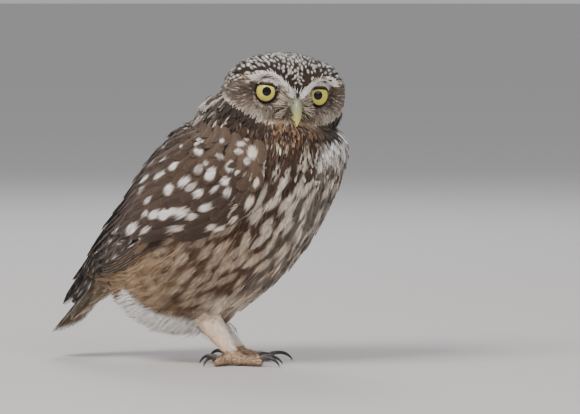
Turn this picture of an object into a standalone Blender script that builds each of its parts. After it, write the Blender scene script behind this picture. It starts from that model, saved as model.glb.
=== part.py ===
"""A little owl at life size, standing, with its head turned to its right.

The frame has +X ahead of the body, +Y to its left and +Z up, with the floor at Z = 0 and the origin under
the middle of the whole bird. Every size below is in millimetres, and new_object() turns them into metres.
"""

import math

import bmesh
import bpy
import numpy as np

METRES = 0.001
GAP = 0.3  # between two nodes that touch

# The trunk and, behind it, the flat room that the folded wings lie on: one row for each section, from the
# wing tips to the neck. A row has the back's x and z, the belly's x and z, and half of the width.
SECTIONS = (
    (-106, 36.5, -102, 28, 8),
    (-98.5, 46.5, -92, 32, 13),
    (-90, 57.5, -82, 36, 18),
    (-81.5, 69.5, -72, 38, 25),
    (-73, 81, -62, 24, 32),
    (-64, 93, -38, 16, 38),
    (-56, 106, -13, 23, 41),
    (-47, 117.5, 12, 39.5, 42),
    (-38.5, 126, 33, 60.5, 41.5),
    (-31, 132.5, 48, 83.5, 40),
    (-25, 137, 57, 104, 38),
    (-22, 144, 61, 119, 35.5),
    (-18, 153, 59, 130, 31),
)
LAST = len(SECTIONS) - 1
NECK_RINGS = 5
SECTION_POWER = 2.2  # 2 is an ellipse, more is fuller at the corners
TRUNK_REAR, TRUNK_FRONT, NECK_TOP = 2.7 / LAST, 10.0 / LAST, 11.7 / LAST
TRUNK_RINGS, TRUNK_SIDES = 18, 28

# The head, in its own frame: x to the bill, y to the left and z up from its middle.
HEAD_AT = (23.2, 0.0, 150.0)
HEAD_YAW, HEAD_DOWN, HEAD_ROLL = -52.0, 4.0, -4.5
FACE_DEPTH, NAPE_DEPTH, HEAD_HALF_WIDTH, CROWN_HEIGHT, CHIN_DEPTH = 28.0, 34.0, 35.0, 25.0, 23.0
HEAD_POWER = 2.35
HEAD_RINGS, HEAD_SIDES = 23, 36
FACE_SHARE = 0.62  # of the rings are on the face's half
FORM_REACH = 27.0
# Forms of the head, alike on both sides: ahead, side, up, height and spread. The first three are a place to
# aim at.
HEAD_FORMS = (
    (FORM_REACH, 4.0, 6.0, 2.2, 3.0),
    (FORM_REACH, 8.5, 10.5, 2.6, 3.4),
    (FORM_REACH, 14.0, 13.0, 2.6, 3.6),
    (FORM_REACH, 20.0, 15.5, 2.0, 3.8),
    (FORM_REACH, 26.5, 15.5, 1.2, 4.5),
    (FORM_REACH, 18.0, 3.0, -3.6, 6.5),
    (FORM_REACH, 27.0, 1.0, -1.2, 5.0),
    (FORM_REACH, 21.0, -14.0, 1.6, 5.0),
    (FORM_REACH, 29.0, -7.0, 1.6, 5.5),
    (FORM_REACH, 11.0, -17.0, 1.0, 5.0),
    (FORM_REACH, 3.5, -2.0, 1.6, 3.4),
    (-16.0, 22.0, 18.0, -4.5, 13.0),
    (10.0, 30.0, 14.0, 1.5, 9.0),
)

EYE_SIDE, EYE_UP = 18.4, 4.0
EYE_RADIUS, EYE_SINK = 8.0, 5.5
EYE_OUT, EYE_LIFT = 26.0, 2.0  # degrees
LID_RADIUS, LID_THICK = 6.1, 0.9

# The bill's side outline: rows of the upper line's x and z, the lower line's x and z, and half of the width.
UPPER_BILL = (
    (22, 1.5, 21, -6.3, 2.8),
    (28, 1.6, 25, -7.2, 3.1),
    (32.3, 0.0, 28, -8.3, 2.9),
    (34.6, -3.6, 30.6, -9.2, 2.5),
    (35.3, -7.6, 32.4, -10.7, 1.9),
    (34.8, -11.4, 33.2, -12.2, 1.1),
    (34.1, -14.0, 33.6, -13.9, 0.35),
)
LOWER_BILL = (
    (20, -6.8, 19.5, -10.0, 2.2),
    (24, -7.7, 23.2, -11.2, 2.3),
    (27.4, -8.9, 26.6, -11.9, 1.9),
    (29.8, -10.1, 29.3, -12.0, 1.4),
    (31.4, -11.4, 31.1, -12.1, 0.5),
)
BILL_SIDES = 12
NOSTRIL_AT, NOSTRIL_RADIUS = (30.4, 3.1, -1.6), 0.7

# Where a wing's lower edge lies on each section, in degrees from the back.
WING_EDGE = (80, 92, 101, 100, 93, 86, 87, 97, 108, 110, 102, 92, 82)
WING_TOP = 12.0
WING_FRONT = 9.7 / LAST
WING_DEPTH = 2.6  # of the flesh and small feathers that the vanes are rooted in
# The tiers of vanes from the primaries up: where the upper end's tips are, how much further forward the
# lower end's are, the vanes' length, all as shares of the trunk, then their count, the ends' places across
# the wing and half of a vane's width.
WING_TIERS = (
    (0.02, 0.15, 0.32, 6, 0.50, 0.95, 4.8),
    (0.15, 0.20, 0.24, 6, 0.08, 0.92, 5.8),
    (0.28, 0.21, 0.18, 7, 0.08, 0.94, 5.4),
    (0.40, 0.18, 0.16, 6, 0.09, 0.94, 5.4),
    (0.51, 0.13, 0.14, 6, 0.10, 0.92, 5.0),
    (0.62, 0.06, 0.11, 5, 0.12, 0.88, 5.0),
)
VANE = 0.56  # a vane's thickness
VANE_SINK, VANE_LIFT = 0.9, 2.2  # below the wing's surface at the root, and over it at the tip
VANE_STEP = 1.0  # by which one vane lies over the next
VANE_SHAPE = (0.5, 0.9, 1.0, 0.9, 0.3)

TAIL_ROOT, TAIL_LENGTH, TAIL_SLOPE = (-75.2, 0.0, 61.5), 62.0, 49.0
TAIL_HALF_WIDTH, TAIL_ROOF = 17.0, 1.2
TAIL_PAIRS, TAIL_VANE, TAIL_STEP = 6, 4.1, 0.95
TAIL_SHAPE = (0.5, 0.8, 0.95, 1.0, 0.5)
TAIL_COVERTS = 0.45  # how far along the tail its coverts reach

# The right foot is the one ahead. Each leg leans forward from the belly to its foot.
FOOT_AT = {-1: (-1.6, -14.0), 1: (-9.6, 14.0)}
LEG_LEAN, LEG_TOP = {-1: 13.0, 1: 19.0}, 25.0  # how far each leans, and the height of a leg's top
THIGH_TOP, KNEE, ANKLE = 42.0, 17.0, 8.5  # heights
# The toes, each with its heading in degrees from +X away from the other foot, its length and its claw's.
TOES = (
    ("inner", -18, 17.0, 13.0),
    ("middle", 10, 20.0, 13.0),
    ("outer", 112, 13.5, 10.0),
    ("hind", 172, 9.5, 10.5),
)
TOE_RADIUS, TOE_HEIGHT = 2.9, 2.35
CLAW_RADIUS = 1.3


def signed_power(value, power):
    return np.sign(value) * np.abs(value) ** power


def read_curve(rows, share):
    """The smooth curve through evenly spaced rows, read at shares from 0 to 1 of the way along them."""
    rows = np.asarray(rows, float)
    rows = rows.reshape(len(rows), -1)
    last = len(rows) - 1
    spot = np.asarray(share, float) * last
    first = np.clip(np.floor(spot).astype(int), 0, last - 1)
    part = (spot - first)[..., None]
    ends = np.concatenate([[2 * rows[0] - rows[1]], rows, [2 * rows[-1] - rows[-2]]])
    a, b, c, d = (ends[first + step] for step in range(4))
    curve = 2 * b + (c - a) * part + (2 * a - 5 * b + 4 * c - d) * part**2
    return 0.5 * (curve + (3 * b - a - 3 * c + d) * part**3)


def oval(rows, power, share, around):
    """Points on a body given by rows of sections: around is 0 on the upper line and pi on the lower one."""
    row = read_curve(rows, share)
    upper, lower, half_width = row[..., 0:2], row[..., 2:4], row[..., 4]
    middle, arm = (upper + lower) / 2, (upper - lower) / 2
    along_arm = signed_power(np.cos(around), 2 / power)
    x = middle[..., 0] + arm[..., 0] * along_arm
    z = middle[..., 1] + arm[..., 1] * along_arm
    y = half_width * signed_power(np.sin(around), 2 / power)
    return np.stack([x, y, z], axis=-1)


def unit(vectors):
    return vectors / np.linalg.norm(vectors, axis=-1, keepdims=True)


def trunk_point(share, around):
    return oval(SECTIONS, SECTION_POWER, share, around)


def trunk_normal(share, around):
    """The direction straight out of the trunk's surface."""
    step = 0.01
    along = trunk_point(share + step, around) - trunk_point(share - step, around)
    across = trunk_point(share, around + step) - trunk_point(share, around - step)
    return unit(np.cross(along, across))


def head_radius(direction):
    """How far the head's surface is from its middle in each direction, in the head's own frame."""
    forward = direction[..., 0] > 0
    depth = np.where(forward, FACE_DEPTH, NAPE_DEPTH)
    height = np.where(direction[..., 2] > 0, CROWN_HEIGHT, CHIN_DEPTH)
    sizes = np.stack([depth, np.full_like(depth, HEAD_HALF_WIDTH), height], axis=-1)
    radius = (np.abs(direction / sizes) ** HEAD_POWER).sum(axis=-1) ** (-1 / HEAD_POWER)
    for ahead, side, up, form_height, spread in HEAD_FORMS:
        for hand in (-1, 1):
            middle = np.array([ahead, hand * side, up])
            reach = np.linalg.norm(middle)
            angle = np.arccos(np.clip(direction @ middle / reach, -1, 1))
            radius = radius + form_height * np.exp(-((angle * reach / spread) ** 2) / 2)
    return radius


def turn(axis, degrees):
    """The matrix of a turn about X, Y or Z."""
    c, s = math.cos(math.radians(degrees)), math.sin(math.radians(degrees))
    i, j = [(1, 2), (2, 0), (0, 1)]["XYZ".index(axis)]
    matrix = np.eye(3)
    matrix[i, i] = matrix[j, j] = c
    matrix[j, i], matrix[i, j] = s, -s
    return matrix


def head_surface(side, up):
    """The point of the face's surface that lies toward a place FORM_REACH ahead, in the head's own frame."""
    direction = unit(np.array([FORM_REACH, side, up]))
    return direction * head_radius(direction)


def eye_place(hand):
    """The middle of an eyeball and the way it looks, in the head's own frame."""
    out, lift = math.radians(EYE_OUT), math.radians(EYE_LIFT)
    looks = np.array([math.cos(out) * math.cos(lift), hand * math.sin(out) * math.cos(lift), math.sin(lift)])
    return head_surface(hand * EYE_SIDE, EYE_UP) - looks * EYE_SINK, looks


HEAD_TURN = turn("Z", HEAD_YAW) @ turn("Y", HEAD_DOWN) @ turn("X", HEAD_ROLL)


def from_head(points):
    """Points in the head's own frame, as the bird stands."""
    return np.asarray(points) @ HEAD_TURN.T + HEAD_AT


def new_object(name, points, faces, collection):
    mesh = bpy.data.meshes.new(name)
    mesh.from_pydata((np.asarray(points, float) * METRES).tolist(), [], [list(map(int, f)) for f in faces])
    mesh.update()
    made = bpy.data.objects.new(name, mesh)
    collection.objects.link(made)
    return made


def skin_rings(rings):
    """Points and triangles of a closed body through rings of equal count, with a middle point on each end.
    """
    count, sides = len(rings), len(rings[0])
    points = np.concatenate([*rings, [np.mean(rings[0], axis=0)], [np.mean(rings[-1], axis=0)]])
    faces = []
    for k in range(sides):
        after = (k + 1) % sides
        for ring in range(count - 1):
            a, b = ring * sides + k, ring * sides + after
            c, d = b + sides, a + sides
            faces += [(a, b, c), (a, c, d)]
        faces.append((after, k, count * sides))
        faces.append(((count - 1) * sides + k, (count - 1) * sides + after, count * sides + 1))
    return points, faces


def facing_out(points, faces):
    """The faces, turned round if the body they close is inside out."""
    corners = np.asarray(points)[np.asarray(faces)]
    inside_out = np.linalg.det(corners).sum() < 0
    return [tuple(reversed(face)) for face in faces] if inside_out else faces


def closed_object(name, rings, collection):
    points, faces = skin_rings([np.asarray(ring) for ring in rings])
    return new_object(name, points, facing_out(points, faces), collection)


def tube(name, line, radii, collection, sides=8, flat=1.0):
    """A round limb along a line of points. flat under 1 makes it lower than it is wide."""
    line = np.asarray(line, float)
    along = unit(np.gradient(line, axis=0))
    rings = []
    angles = np.arange(sides) * 2 * math.pi / sides
    for middle, heading, radius in zip(line, along, radii, strict=True):
        upright = abs(heading[2]) > 0.98
        wide = np.array([0.0, 1.0, 0.0]) if upright else unit(np.cross([0.0, 0.0, 1.0], heading))
        high = np.cross(heading, wide)
        ring = np.cos(angles)[:, None] * wide + flat * np.sin(angles)[:, None] * high
        rings.append(middle + radius * ring)
    return closed_object(name, rings, collection)


def slab(name, upper, lower, collection):
    """A closed sheet between two grids of points, split into triangles alike on both faces."""
    rows, columns = upper.shape[:2]
    points = np.concatenate([upper.reshape(-1, 3), lower.reshape(-1, 3)])
    under = rows * columns
    faces = []
    for row in range(rows - 1):
        for column in range(columns - 1):
            a = row * columns + column
            b, c, d = a + 1, a + columns + 1, a + columns
            faces += [(a, b, c), (a, c, d)]
            faces += [(under + a, under + c, under + b), (under + a, under + d, under + c)]
    rim = [(0, k) for k in range(columns)] + [(k, columns - 1) for k in range(1, rows)]
    rim += [(rows - 1, k) for k in range(columns - 2, -1, -1)] + [(k, 0) for k in range(rows - 2, 0, -1)]
    rim = [row * columns + column for row, column in rim]
    for a, b in zip(rim, rim[1:] + rim[:1], strict=True):
        faces += [(b, a, under + a), (b, under + a, under + b)]
    return new_object(name, points, facing_out(points, faces), collection)


def vane(middle, wide, rise, half_widths, collection):
    """A feather: a thin blade along a line of points, with wide across it and rise out of its upper face."""
    thick = VANE * np.linspace(1.0, 0.7, len(middle))[:, None] / 2
    out = wide * np.asarray(half_widths)[:, None]
    corners = [middle - out + rise * thick, middle + out + rise * thick]
    corners += [middle + out - rise * thick, middle - out - rise * thick]
    points = np.stack(corners, axis=1).reshape(-1, 3)
    faces = [(0, 3, 2), (0, 2, 1)]
    for ring in range(len(middle) - 1):
        near = [ring * 4 + k for k in range(4)]
        far = [k + 4 for k in near]
        for k, after in ((0, 1), (1, 2), (3, 0)):
            faces += [(near[k], near[after], far[after]), (near[k], far[after], far[k])]
        faces += [(near[2], near[3], far[2]), (near[3], far[3], far[2])]
    end = 4 * len(middle) - 4
    faces += [(end, end + 2, end + 3), (end, end + 1, end + 2)]
    return new_object("vane", points, facing_out(points, faces), collection)


def evaluated_mesh(made):
    graph = bpy.context.evaluated_depsgraph_get()
    return bpy.data.meshes.new_from_object(made.evaluated_get(graph))


def apply_boolean(made, operation, solver, other=None, collection=None):
    modifier = made.modifiers.new("join", "BOOLEAN")
    modifier.operation, modifier.solver = operation, solver
    if collection is None:
        modifier.object = other
    else:
        modifier.operand_type, modifier.collection = "COLLECTION", collection
    result = evaluated_mesh(made)
    made.modifiers.clear()
    made.data = result


def keep_largest(made):
    """Drops every closed surface of the mesh but the largest."""
    shape = bmesh.new()
    shape.from_mesh(made.data)
    left, groups = set(shape.faces), []
    while left:
        group, edge = set(), [left.pop()]
        while edge:
            face = edge.pop()
            group.add(face)
            beside = {other for e in face.edges for other in e.link_faces} & left
            left -= beside
            edge += beside
        groups.append(group)
    groups.sort(key=lambda group: sum(face.calc_area() for face in group))
    for group in groups[:-1]:
        bmesh.ops.delete(shape, geom=list(group), context="FACES")
    loose = [vertex for vertex in shape.verts if not vertex.link_faces]
    bmesh.ops.delete(shape, geom=loose, context="VERTS")
    shape.to_mesh(made.data)
    shape.free()


def fuse(made, pieces, solver="MANIFOLD"):
    """Joins the closed pieces to made and removes them."""
    joined = bpy.data.collections.new("joined")
    bpy.context.scene.collection.children.link(joined)
    for piece in pieces:
        joined.objects.link(piece)
        for home in list(piece.users_collection):
            if home != joined:
                home.objects.unlink(piece)
    bpy.context.view_layer.update()
    apply_boolean(made, "UNION", solver, collection=joined)
    for piece in pieces:
        bpy.data.objects.remove(piece)
    bpy.data.collections.remove(joined)


def cut(made, cutter, solver="MANIFOLD"):
    bpy.context.view_layer.update()
    apply_boolean(made, "DIFFERENCE", solver, other=cutter)


def grown(made, by, collection):
    """A copy of a closed object whose surface stands out by a distance, as a cutter that leaves that gap."""
    shape = bmesh.new()
    shape.from_mesh(made.data)
    shape.normal_update()
    moves = []
    for vertex in shape.verts:
        flattest = min(abs(vertex.normal.dot(face.normal)) for face in vertex.link_faces)
        moves.append(vertex.normal * by * METRES / max(flattest, 0.6))
    for vertex, move in zip(shape.verts, moves, strict=True):
        vertex.co += move
    mesh = bpy.data.meshes.new(made.name + "_room")
    shape.to_mesh(mesh)
    shape.free()
    copy = bpy.data.objects.new(made.name + "_room", mesh)
    collection.objects.link(copy)
    copy.hide_render = True
    copy.display_type = "WIRE"
    return copy


def paint(made, colour, roughness, metallic=0.0):
    material = bpy.data.materials.new(made.name)
    material.use_nodes = True
    shader = material.node_tree.nodes["Principled BSDF"]
    shader.inputs["Base Color"].default_value = (*colour, 1.0)
    shader.inputs["Roughness"].default_value = roughness
    shader.inputs["Metallic"].default_value = metallic
    made.data.materials.clear()
    made.data.materials.append(material)


def make_trunk(parts):
    around = np.arange(TRUNK_SIDES) * 2 * math.pi / TRUNK_SIDES
    shares = np.linspace(TRUNK_REAR, TRUNK_FRONT, TRUNK_RINGS)
    rings = [trunk_point(np.full(TRUNK_SIDES, share), around) for share in shares]
    return closed_object("torso", rings, parts)


def make_head(parts):
    """The head without its neck, as rings round the line of the bill."""
    front = np.linspace(0, math.pi / 2, int(HEAD_RINGS * FACE_SHARE), endpoint=False)[1:]
    back = np.linspace(math.pi / 2, math.pi, HEAD_RINGS - len(front) + 1)[:-1]
    around = np.arange(HEAD_SIDES) * 2 * math.pi / HEAD_SIDES
    rings = []
    for angle in (*front, *back):
        direction = np.stack(
            [
                np.full(HEAD_SIDES, math.cos(angle)),
                math.sin(angle) * np.sin(around),
                math.sin(angle) * np.cos(around),
            ],
            axis=-1,
        )
        rings.append(from_head(direction * head_radius(direction)[:, None]))
    return closed_object("head", rings, parts)


def make_ball(name, centre, radius, segments, collection):
    shape = bmesh.new()
    bmesh.ops.create_uvsphere(shape, u_segments=segments, v_segments=segments // 2, radius=radius * METRES)
    bmesh.ops.triangulate(shape, faces=shape.faces)
    bmesh.ops.translate(shape, verts=shape.verts, vec=[c * METRES for c in centre])
    mesh = bpy.data.meshes.new(name)
    shape.to_mesh(mesh)
    shape.free()
    made = bpy.data.objects.new(name, mesh)
    collection.objects.link(made)
    return made


def make_lid(name, hand, collection):
    """The ring of bare skin round an eye."""
    centre, looks = eye_place(hand)
    ahead = math.sqrt(EYE_RADIUS**2 - LID_RADIUS**2)
    middle = centre + looks * ahead
    side = unit(np.cross(looks, [0.0, 0.0, 1.0]))
    up = np.cross(side, looks)
    steps, sides = 22, 6
    points, faces = [], []
    for step in range(steps):
        a = step * 2 * math.pi / steps
        away = math.cos(a) * side + math.sin(a) * up
        for k in range(sides):
            b = k * 2 * math.pi / sides
            points.append(
                middle + away * (LID_RADIUS + LID_THICK * math.cos(b)) + looks * LID_THICK * math.sin(b)
            )
            e, f = step * sides + k, step * sides + (k + 1) % sides
            g, h = (f + sides) % (steps * sides), (e + sides) % (steps * sides)
            faces += [(e, f, g), (e, g, h)]
    points = from_head(points)
    return new_object(name, points, facing_out(points, faces), collection)


def make_neck(parts, head, tools):
    """The ruff between the trunk and the head, which sits in it."""
    around = np.arange(TRUNK_SIDES) * 2 * math.pi / TRUNK_SIDES
    shares = np.linspace(TRUNK_FRONT, NECK_TOP, NECK_RINGS)
    rings = [trunk_point(np.full(TRUNK_SIDES, share), around) for share in shares]
    middle = rings[-1].mean(axis=0)
    for scale, rise in ((0.97, 2.0), (0.9, 4.2), (0.78, 6.5), (0.6, 8.0)):
        rings.append(middle + (rings[NECK_RINGS - 1] - middle) * scale + [0, 0, rise])
    lift = unit(np.cross(rings[0][0] - rings[0][TRUNK_SIDES // 2], [0.0, 1.0, 0.0]))
    lift = lift if lift[2] > 0 else -lift
    rings[0] = rings[0] + lift * GAP
    neck = closed_object("neck", rings, parts)
    cut(neck, grown(head, GAP, tools))
    keep_largest(neck)
    return neck


def make_bill(name, rows, parts, head, tools):
    around = np.arange(BILL_SIDES) * 2 * math.pi / BILL_SIDES
    shares = np.linspace(0, 1, 12)
    rings = [from_head(oval(rows, 2.0, np.full(BILL_SIDES, share), around)) for share in shares]
    bill = closed_object(name, rings, parts)
    cut(bill, grown(head, GAP, tools))
    keep_largest(bill)
    return bill


def wing_angle(hand, share, across):
    """The angle round the trunk of a place across a folded wing."""
    low = read_curve(WING_EDGE, share)[..., 0]
    return hand * np.radians(WING_TOP + (low - WING_TOP) * across)


def wing_thickness(edge):
    """How far a wing's flesh stands over the trunk, edge being 0 on its rim and 1 well inside it."""
    return 1.0 + (WING_DEPTH - 1.0) * np.sqrt(edge)


def wing_grid(hand, upper, rows=13, columns=7):
    """A grid of points from the wing's tip to its front, on its upper face or just inside the trunk."""
    shares = np.linspace(0.0, WING_FRONT, rows)[:, None] * np.ones(columns)
    across = np.linspace(0, 1, columns)[None] * np.ones((rows, 1))
    around = wing_angle(hand, shares, across)
    from_sides = np.minimum(across, 1 - across) * 6
    from_ends = np.minimum(shares, WING_FRONT - shares) * 14
    edge = np.clip(np.minimum(from_sides, from_ends), 0, 1)
    height = wing_thickness(edge) if upper else np.full_like(edge, -1.0)
    return trunk_point(shares, around) + height[..., None] * trunk_normal(shares, around)


def wing_vane(hand, tip, length, across, half_width, spacing, collection):
    """One feather of a wing, from a root sunk in the wing to a tip that stands off it."""
    part = np.linspace(0, 1, len(VANE_SHAPE))
    share = tip + length * (1 - part)
    around = wing_angle(hand, share, np.full(len(part), across))
    normal = trunk_normal(share, around)
    root = wing_thickness(min(1.0, min(across, 1 - across) * 6)) - VANE_SINK
    height = root + (WING_DEPTH + VANE_LIFT - root) * part**0.8
    middle = trunk_point(share, around) + normal * height[:, None]
    wide = unit(np.cross(unit(np.gradient(middle, axis=0)), normal))
    downward = trunk_point(share, around + hand * 0.05) - trunk_point(share, around)
    wide = wide * np.sign((downward * wide).sum(axis=1))[:, None]
    roll = math.atan(VANE_STEP / spacing)
    rise = normal * math.cos(roll) - wide * math.sin(roll)
    wide = wide * math.cos(roll) + normal * math.sin(roll)
    made = vane(middle, wide, rise, half_width * np.asarray(VANE_SHAPE), collection)
    for vertex in made.data.vertices:
        vertex.co.y = hand * max(hand * vertex.co.y, 0.6 * METRES)
    return made


def make_wing(name, hand, parts, torso, tools):
    wing = slab(name, wing_grid(hand, True), wing_grid(hand, False), parts)
    vanes = []
    for tip, forward, length, count, first, last, half_width in WING_TIERS:
        gap = (last - first) / (count - 1)
        for k in range(count):
            part = k / (count - 1)
            across = first + (last - first) * part
            start = tip + forward * part**1.4
            middle = np.full(2, start + length / 2)
            neighbours = trunk_point(middle, wing_angle(hand, middle, across + np.array([0, gap])))
            spacing = np.linalg.norm(neighbours[1] - neighbours[0])
            vanes.append(wing_vane(hand, start, length, across, half_width, spacing, parts))
    fuse(wing, vanes)
    cut(wing, grown(torso, GAP, tools))
    keep_largest(wing)
    return wing


def tail_point(along, side, over):
    """A point of the tail: along its length, across it and over its middle layer."""
    slope = math.radians(TAIL_SLOPE)
    heading = np.array([-math.cos(slope), 0.0, -math.sin(slope)])
    rise = np.array([-math.sin(slope), 0.0, math.cos(slope)])
    drop = TAIL_ROOF * (side / TAIL_HALF_WIDTH) ** 2
    place = np.asarray(along)[..., None] * heading + np.asarray(over - drop)[..., None] * rise
    place[..., 1] += side
    return place + TAIL_ROOT


def make_tail(parts, torso, tools):
    rows, columns = 7, 7
    along = np.linspace(0, TAIL_COVERTS, rows)[:, None] * np.ones(columns)
    across = np.linspace(-1, 1, columns)[None] * np.ones((rows, 1))
    fall = (1 - along / TAIL_COVERTS) ** 0.8
    side = across * (11.0 + 2.0 * fall)
    upper = tail_point(along * TAIL_LENGTH, side, 0.6 + 1.0 * fall - 4.5 * across**2)
    lower = tail_point(along * TAIL_LENGTH, side, -4.6 - 5.5 * fall * (1 - 0.6 * across**2))
    tail = slab("tail", upper, lower, parts)
    vanes = []
    for pair in range(TAIL_PAIRS):
        for hand in (-1, 1):
            layer = -TAIL_STEP * (pair + (1 if hand < 0 or pair else 0))
            part = np.linspace(0, 1, 5)
            start = 1.0 + pair * 1.6
            side = hand * (start + (1.15 + pair * 2.75 - start) * part)
            reach = (0.14 + 0.86 * part) * (TAIL_LENGTH - 0.22 * pair**2)
            middle = tail_point(reach, side, layer)
            wide = np.zeros((5, 3))
            wide[:, 1] = 1.0
            rise = unit(np.cross(unit(np.gradient(middle, axis=0)), wide))
            rise = rise * np.sign(rise[0, 2])
            vanes.append(vane(middle, wide, rise, TAIL_VANE * np.array(TAIL_SHAPE), parts))
    fuse(tail, vanes)
    cut(tail, grown(torso, GAP, tools))
    keep_largest(tail)
    return tail


def leg_line(hand, height):
    """The middle of a leg at a height."""
    x, y = FOOT_AT[hand]
    lean = LEG_LEAN[hand] * (height - ANKLE) / (LEG_TOP - ANKLE)
    return np.array([x - 1.5 - lean, y, height])


def leg_piece(name, hand, heights, radii, parts):
    sides = 16
    around = np.arange(sides) * 2 * math.pi / sides
    rings = []
    for height, (long, wide) in zip(heights, radii, strict=True):
        ring = np.stack([long * np.cos(around), wide * np.sin(around), 0 * around], axis=-1)
        rings.append(leg_line(hand, height) + ring)
    return closed_object(name, rings, parts)


def toe_heading(hand, degrees):
    angle = math.radians(degrees)
    return np.array([math.cos(angle), hand * math.sin(angle), 0.0])


def make_claw(name, start, heading, length, parts):
    """A claw curving forward and down from the end of its toe almost to the floor."""
    bends = np.linspace(0, 1, 7)
    line = []
    for bend in bends:
        ahead = length * math.sin(bend * 1.35) / math.sin(1.35)
        rise = 2.6 * math.sin(bend * math.pi * 0.8)
        height = (start[2] - 0.55) * (1 - bend**2.2) + 0.55 + rise * (1 - bend)
        line.append([start[0] + heading[0] * ahead, start[1] + heading[1] * ahead, height])
    radii = CLAW_RADIUS * (1 - 0.84 * bends**1.5)
    return tube(name, line, radii, parts, sides=7)


def make_foot(side, hand, parts, tools):
    x, y = FOOT_AT[hand]
    sizes = ((4.2, 4.0), (5.0, 4.6), (4.6, 4.2), (4.4, 4.0))
    foot = leg_piece("foot_" + side, hand, (1.0, 3.0, 5.5, ANKLE - GAP), sizes, parts)
    toes, claws = [], []
    for toe, degrees, length, claw_length in TOES:
        heading = toe_heading(hand, degrees)
        steps = np.linspace(0, 1, 7)
        middle = np.array([x, y, 0.0])
        line = [middle + heading * length * s + [0, 0, TOE_HEIGHT + 1.6 * (1 - s) ** 2] for s in steps]
        knuckles = 1 + 0.09 * np.cos(steps * 6 * math.pi)
        radii = TOE_RADIUS * (1 - 0.2 * steps) * knuckles
        toes.append(tube(toe, line, radii, parts, sides=8))
        tip = line[-1] - heading * 1.6 + [0, 0, 0.8]
        claws.append(make_claw(f"claw_{toe}_{side}", tip, heading, claw_length, parts))
    fuse(foot, toes)
    for claw in claws:
        cut(foot, grown(claw, GAP, tools))
    floor = new_box("floor_" + side, (x - 60, y - 60, -20), (x + 60, y + 60, 0), tools)
    cut(foot, floor)
    keep_largest(foot)
    paint(foot, (0.42, 0.34, 0.24), 0.8)
    for claw in claws:
        paint(claw, (0.06, 0.055, 0.055), 0.35)
    return foot


def new_box(name, low, high, collection):
    corners = []
    for x in (low[0], high[0]):
        for y in (low[1], high[1]):
            corners += [(x, y, low[2]), (x, y, high[2])]
    faces = [(0, 1, 3, 2), (4, 6, 7, 5), (0, 4, 5, 1), (2, 3, 7, 6), (0, 2, 6, 4), (1, 5, 7, 3)]
    box = new_object(name, corners, faces, collection)
    box.hide_render = True
    box.display_type = "WIRE"
    return box


def make_leg(side, hand, parts, torso, tools):
    thigh_rings = ((9.0, 8.0), (8.5, 7.5), (7.6, 6.8), (6.4, 6.0), (5.9, 5.6))
    thigh = leg_piece("thigh_" + side, hand, np.linspace(THIGH_TOP, KNEE, 5), thigh_rings, parts)
    cut(thigh, grown(torso, GAP, tools))
    keep_largest(thigh)
    tarsus_rings = ((5.8, 5.4), (5.4, 4.9), (4.9, 4.4), (4.6, 4.1))
    tarsus = leg_piece("tarsus_" + side, hand, np.linspace(KNEE - GAP, ANKLE, 4), tarsus_rings, parts)
    paint(thigh, (0.70, 0.62, 0.50), 0.9)
    paint(tarsus, (0.72, 0.62, 0.50), 0.9)


def stand_at_origin(parts):
    """Moves every piece so that the middle of the whole bird is over the origin."""
    corners = []
    for made in parts.objects:
        corners.append(np.array([vertex.co for vertex in made.data.vertices]))
    points = np.concatenate(corners)
    middle = (points.min(axis=0) + points.max(axis=0)) / 2
    for made in parts.objects:
        for vertex in made.data.vertices:
            vertex.co.x -= middle[0]
            vertex.co.y -= middle[1]


def main():
    for old in list(bpy.data.objects):
        bpy.data.objects.remove(old)
    parts = bpy.data.collections.new("little_owl")
    tools = bpy.data.collections.new("cutters")
    for collection in (parts, tools):
        bpy.context.scene.collection.children.link(collection)

    torso = make_trunk(parts)
    head = make_head(parts)
    neck = make_neck(parts, head, tools)
    for name, rows in (("bill_upper", UPPER_BILL), ("bill_lower", LOWER_BILL)):
        bill = make_bill(name, rows, parts, head, tools)
        paint(bill, (0.62, 0.60, 0.34), 0.4)
        cut(neck, grown(bill, GAP, tools))
    keep_largest(neck)
    x, y, z = NOSTRIL_AT
    for hand in (-1, 1):
        hole = make_ball("nostril", from_head((x, hand * y, z)), NOSTRIL_RADIUS, 10, tools)
        hole.hide_render = True
        hole.display_type = "WIRE"
        cut(parts.objects["bill_upper"], hole)

    lids = [make_lid("lid", hand, parts) for hand in (-1, 1)]
    fuse(head, lids)
    for side, hand in (("right", -1), ("left", 1)):
        centre = from_head(eye_place(hand)[0])
        eye = make_ball("eye_" + side, centre, EYE_RADIUS, 20, parts)
        room = make_ball("eye_room", centre, EYE_RADIUS + GAP, 20, tools)
        room.hide_render = True
        room.display_type = "WIRE"
        cut(head, room)
        paint(eye, (0.80, 0.72, 0.20), 0.1)
        paint(make_wing("wing_" + side, hand, parts, torso, tools), (0.30, 0.24, 0.19), 0.85)
        make_leg(side, hand, parts, torso, tools)
        make_foot(side, hand, parts, tools)
    keep_largest(head)
    paint(make_tail(parts, torso, tools), (0.30, 0.24, 0.19), 0.85)
    paint(torso, (0.55, 0.48, 0.40), 0.9)
    paint(neck, (0.40, 0.32, 0.26), 0.9)
    paint(head, (0.40, 0.32, 0.26), 0.9)
    stand_at_origin(parts)


main()
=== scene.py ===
"""The little owl's skin, feathers, eyes, bill and feet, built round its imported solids.

Shapes are worked out in millimetres in the frame of the solids' source, with +X ahead of the body and +Y to its
left. to_world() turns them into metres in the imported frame.
"""

import math

import bpy
import numpy as np
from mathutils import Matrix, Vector
from mathutils.bvhtree import BVHTree


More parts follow.
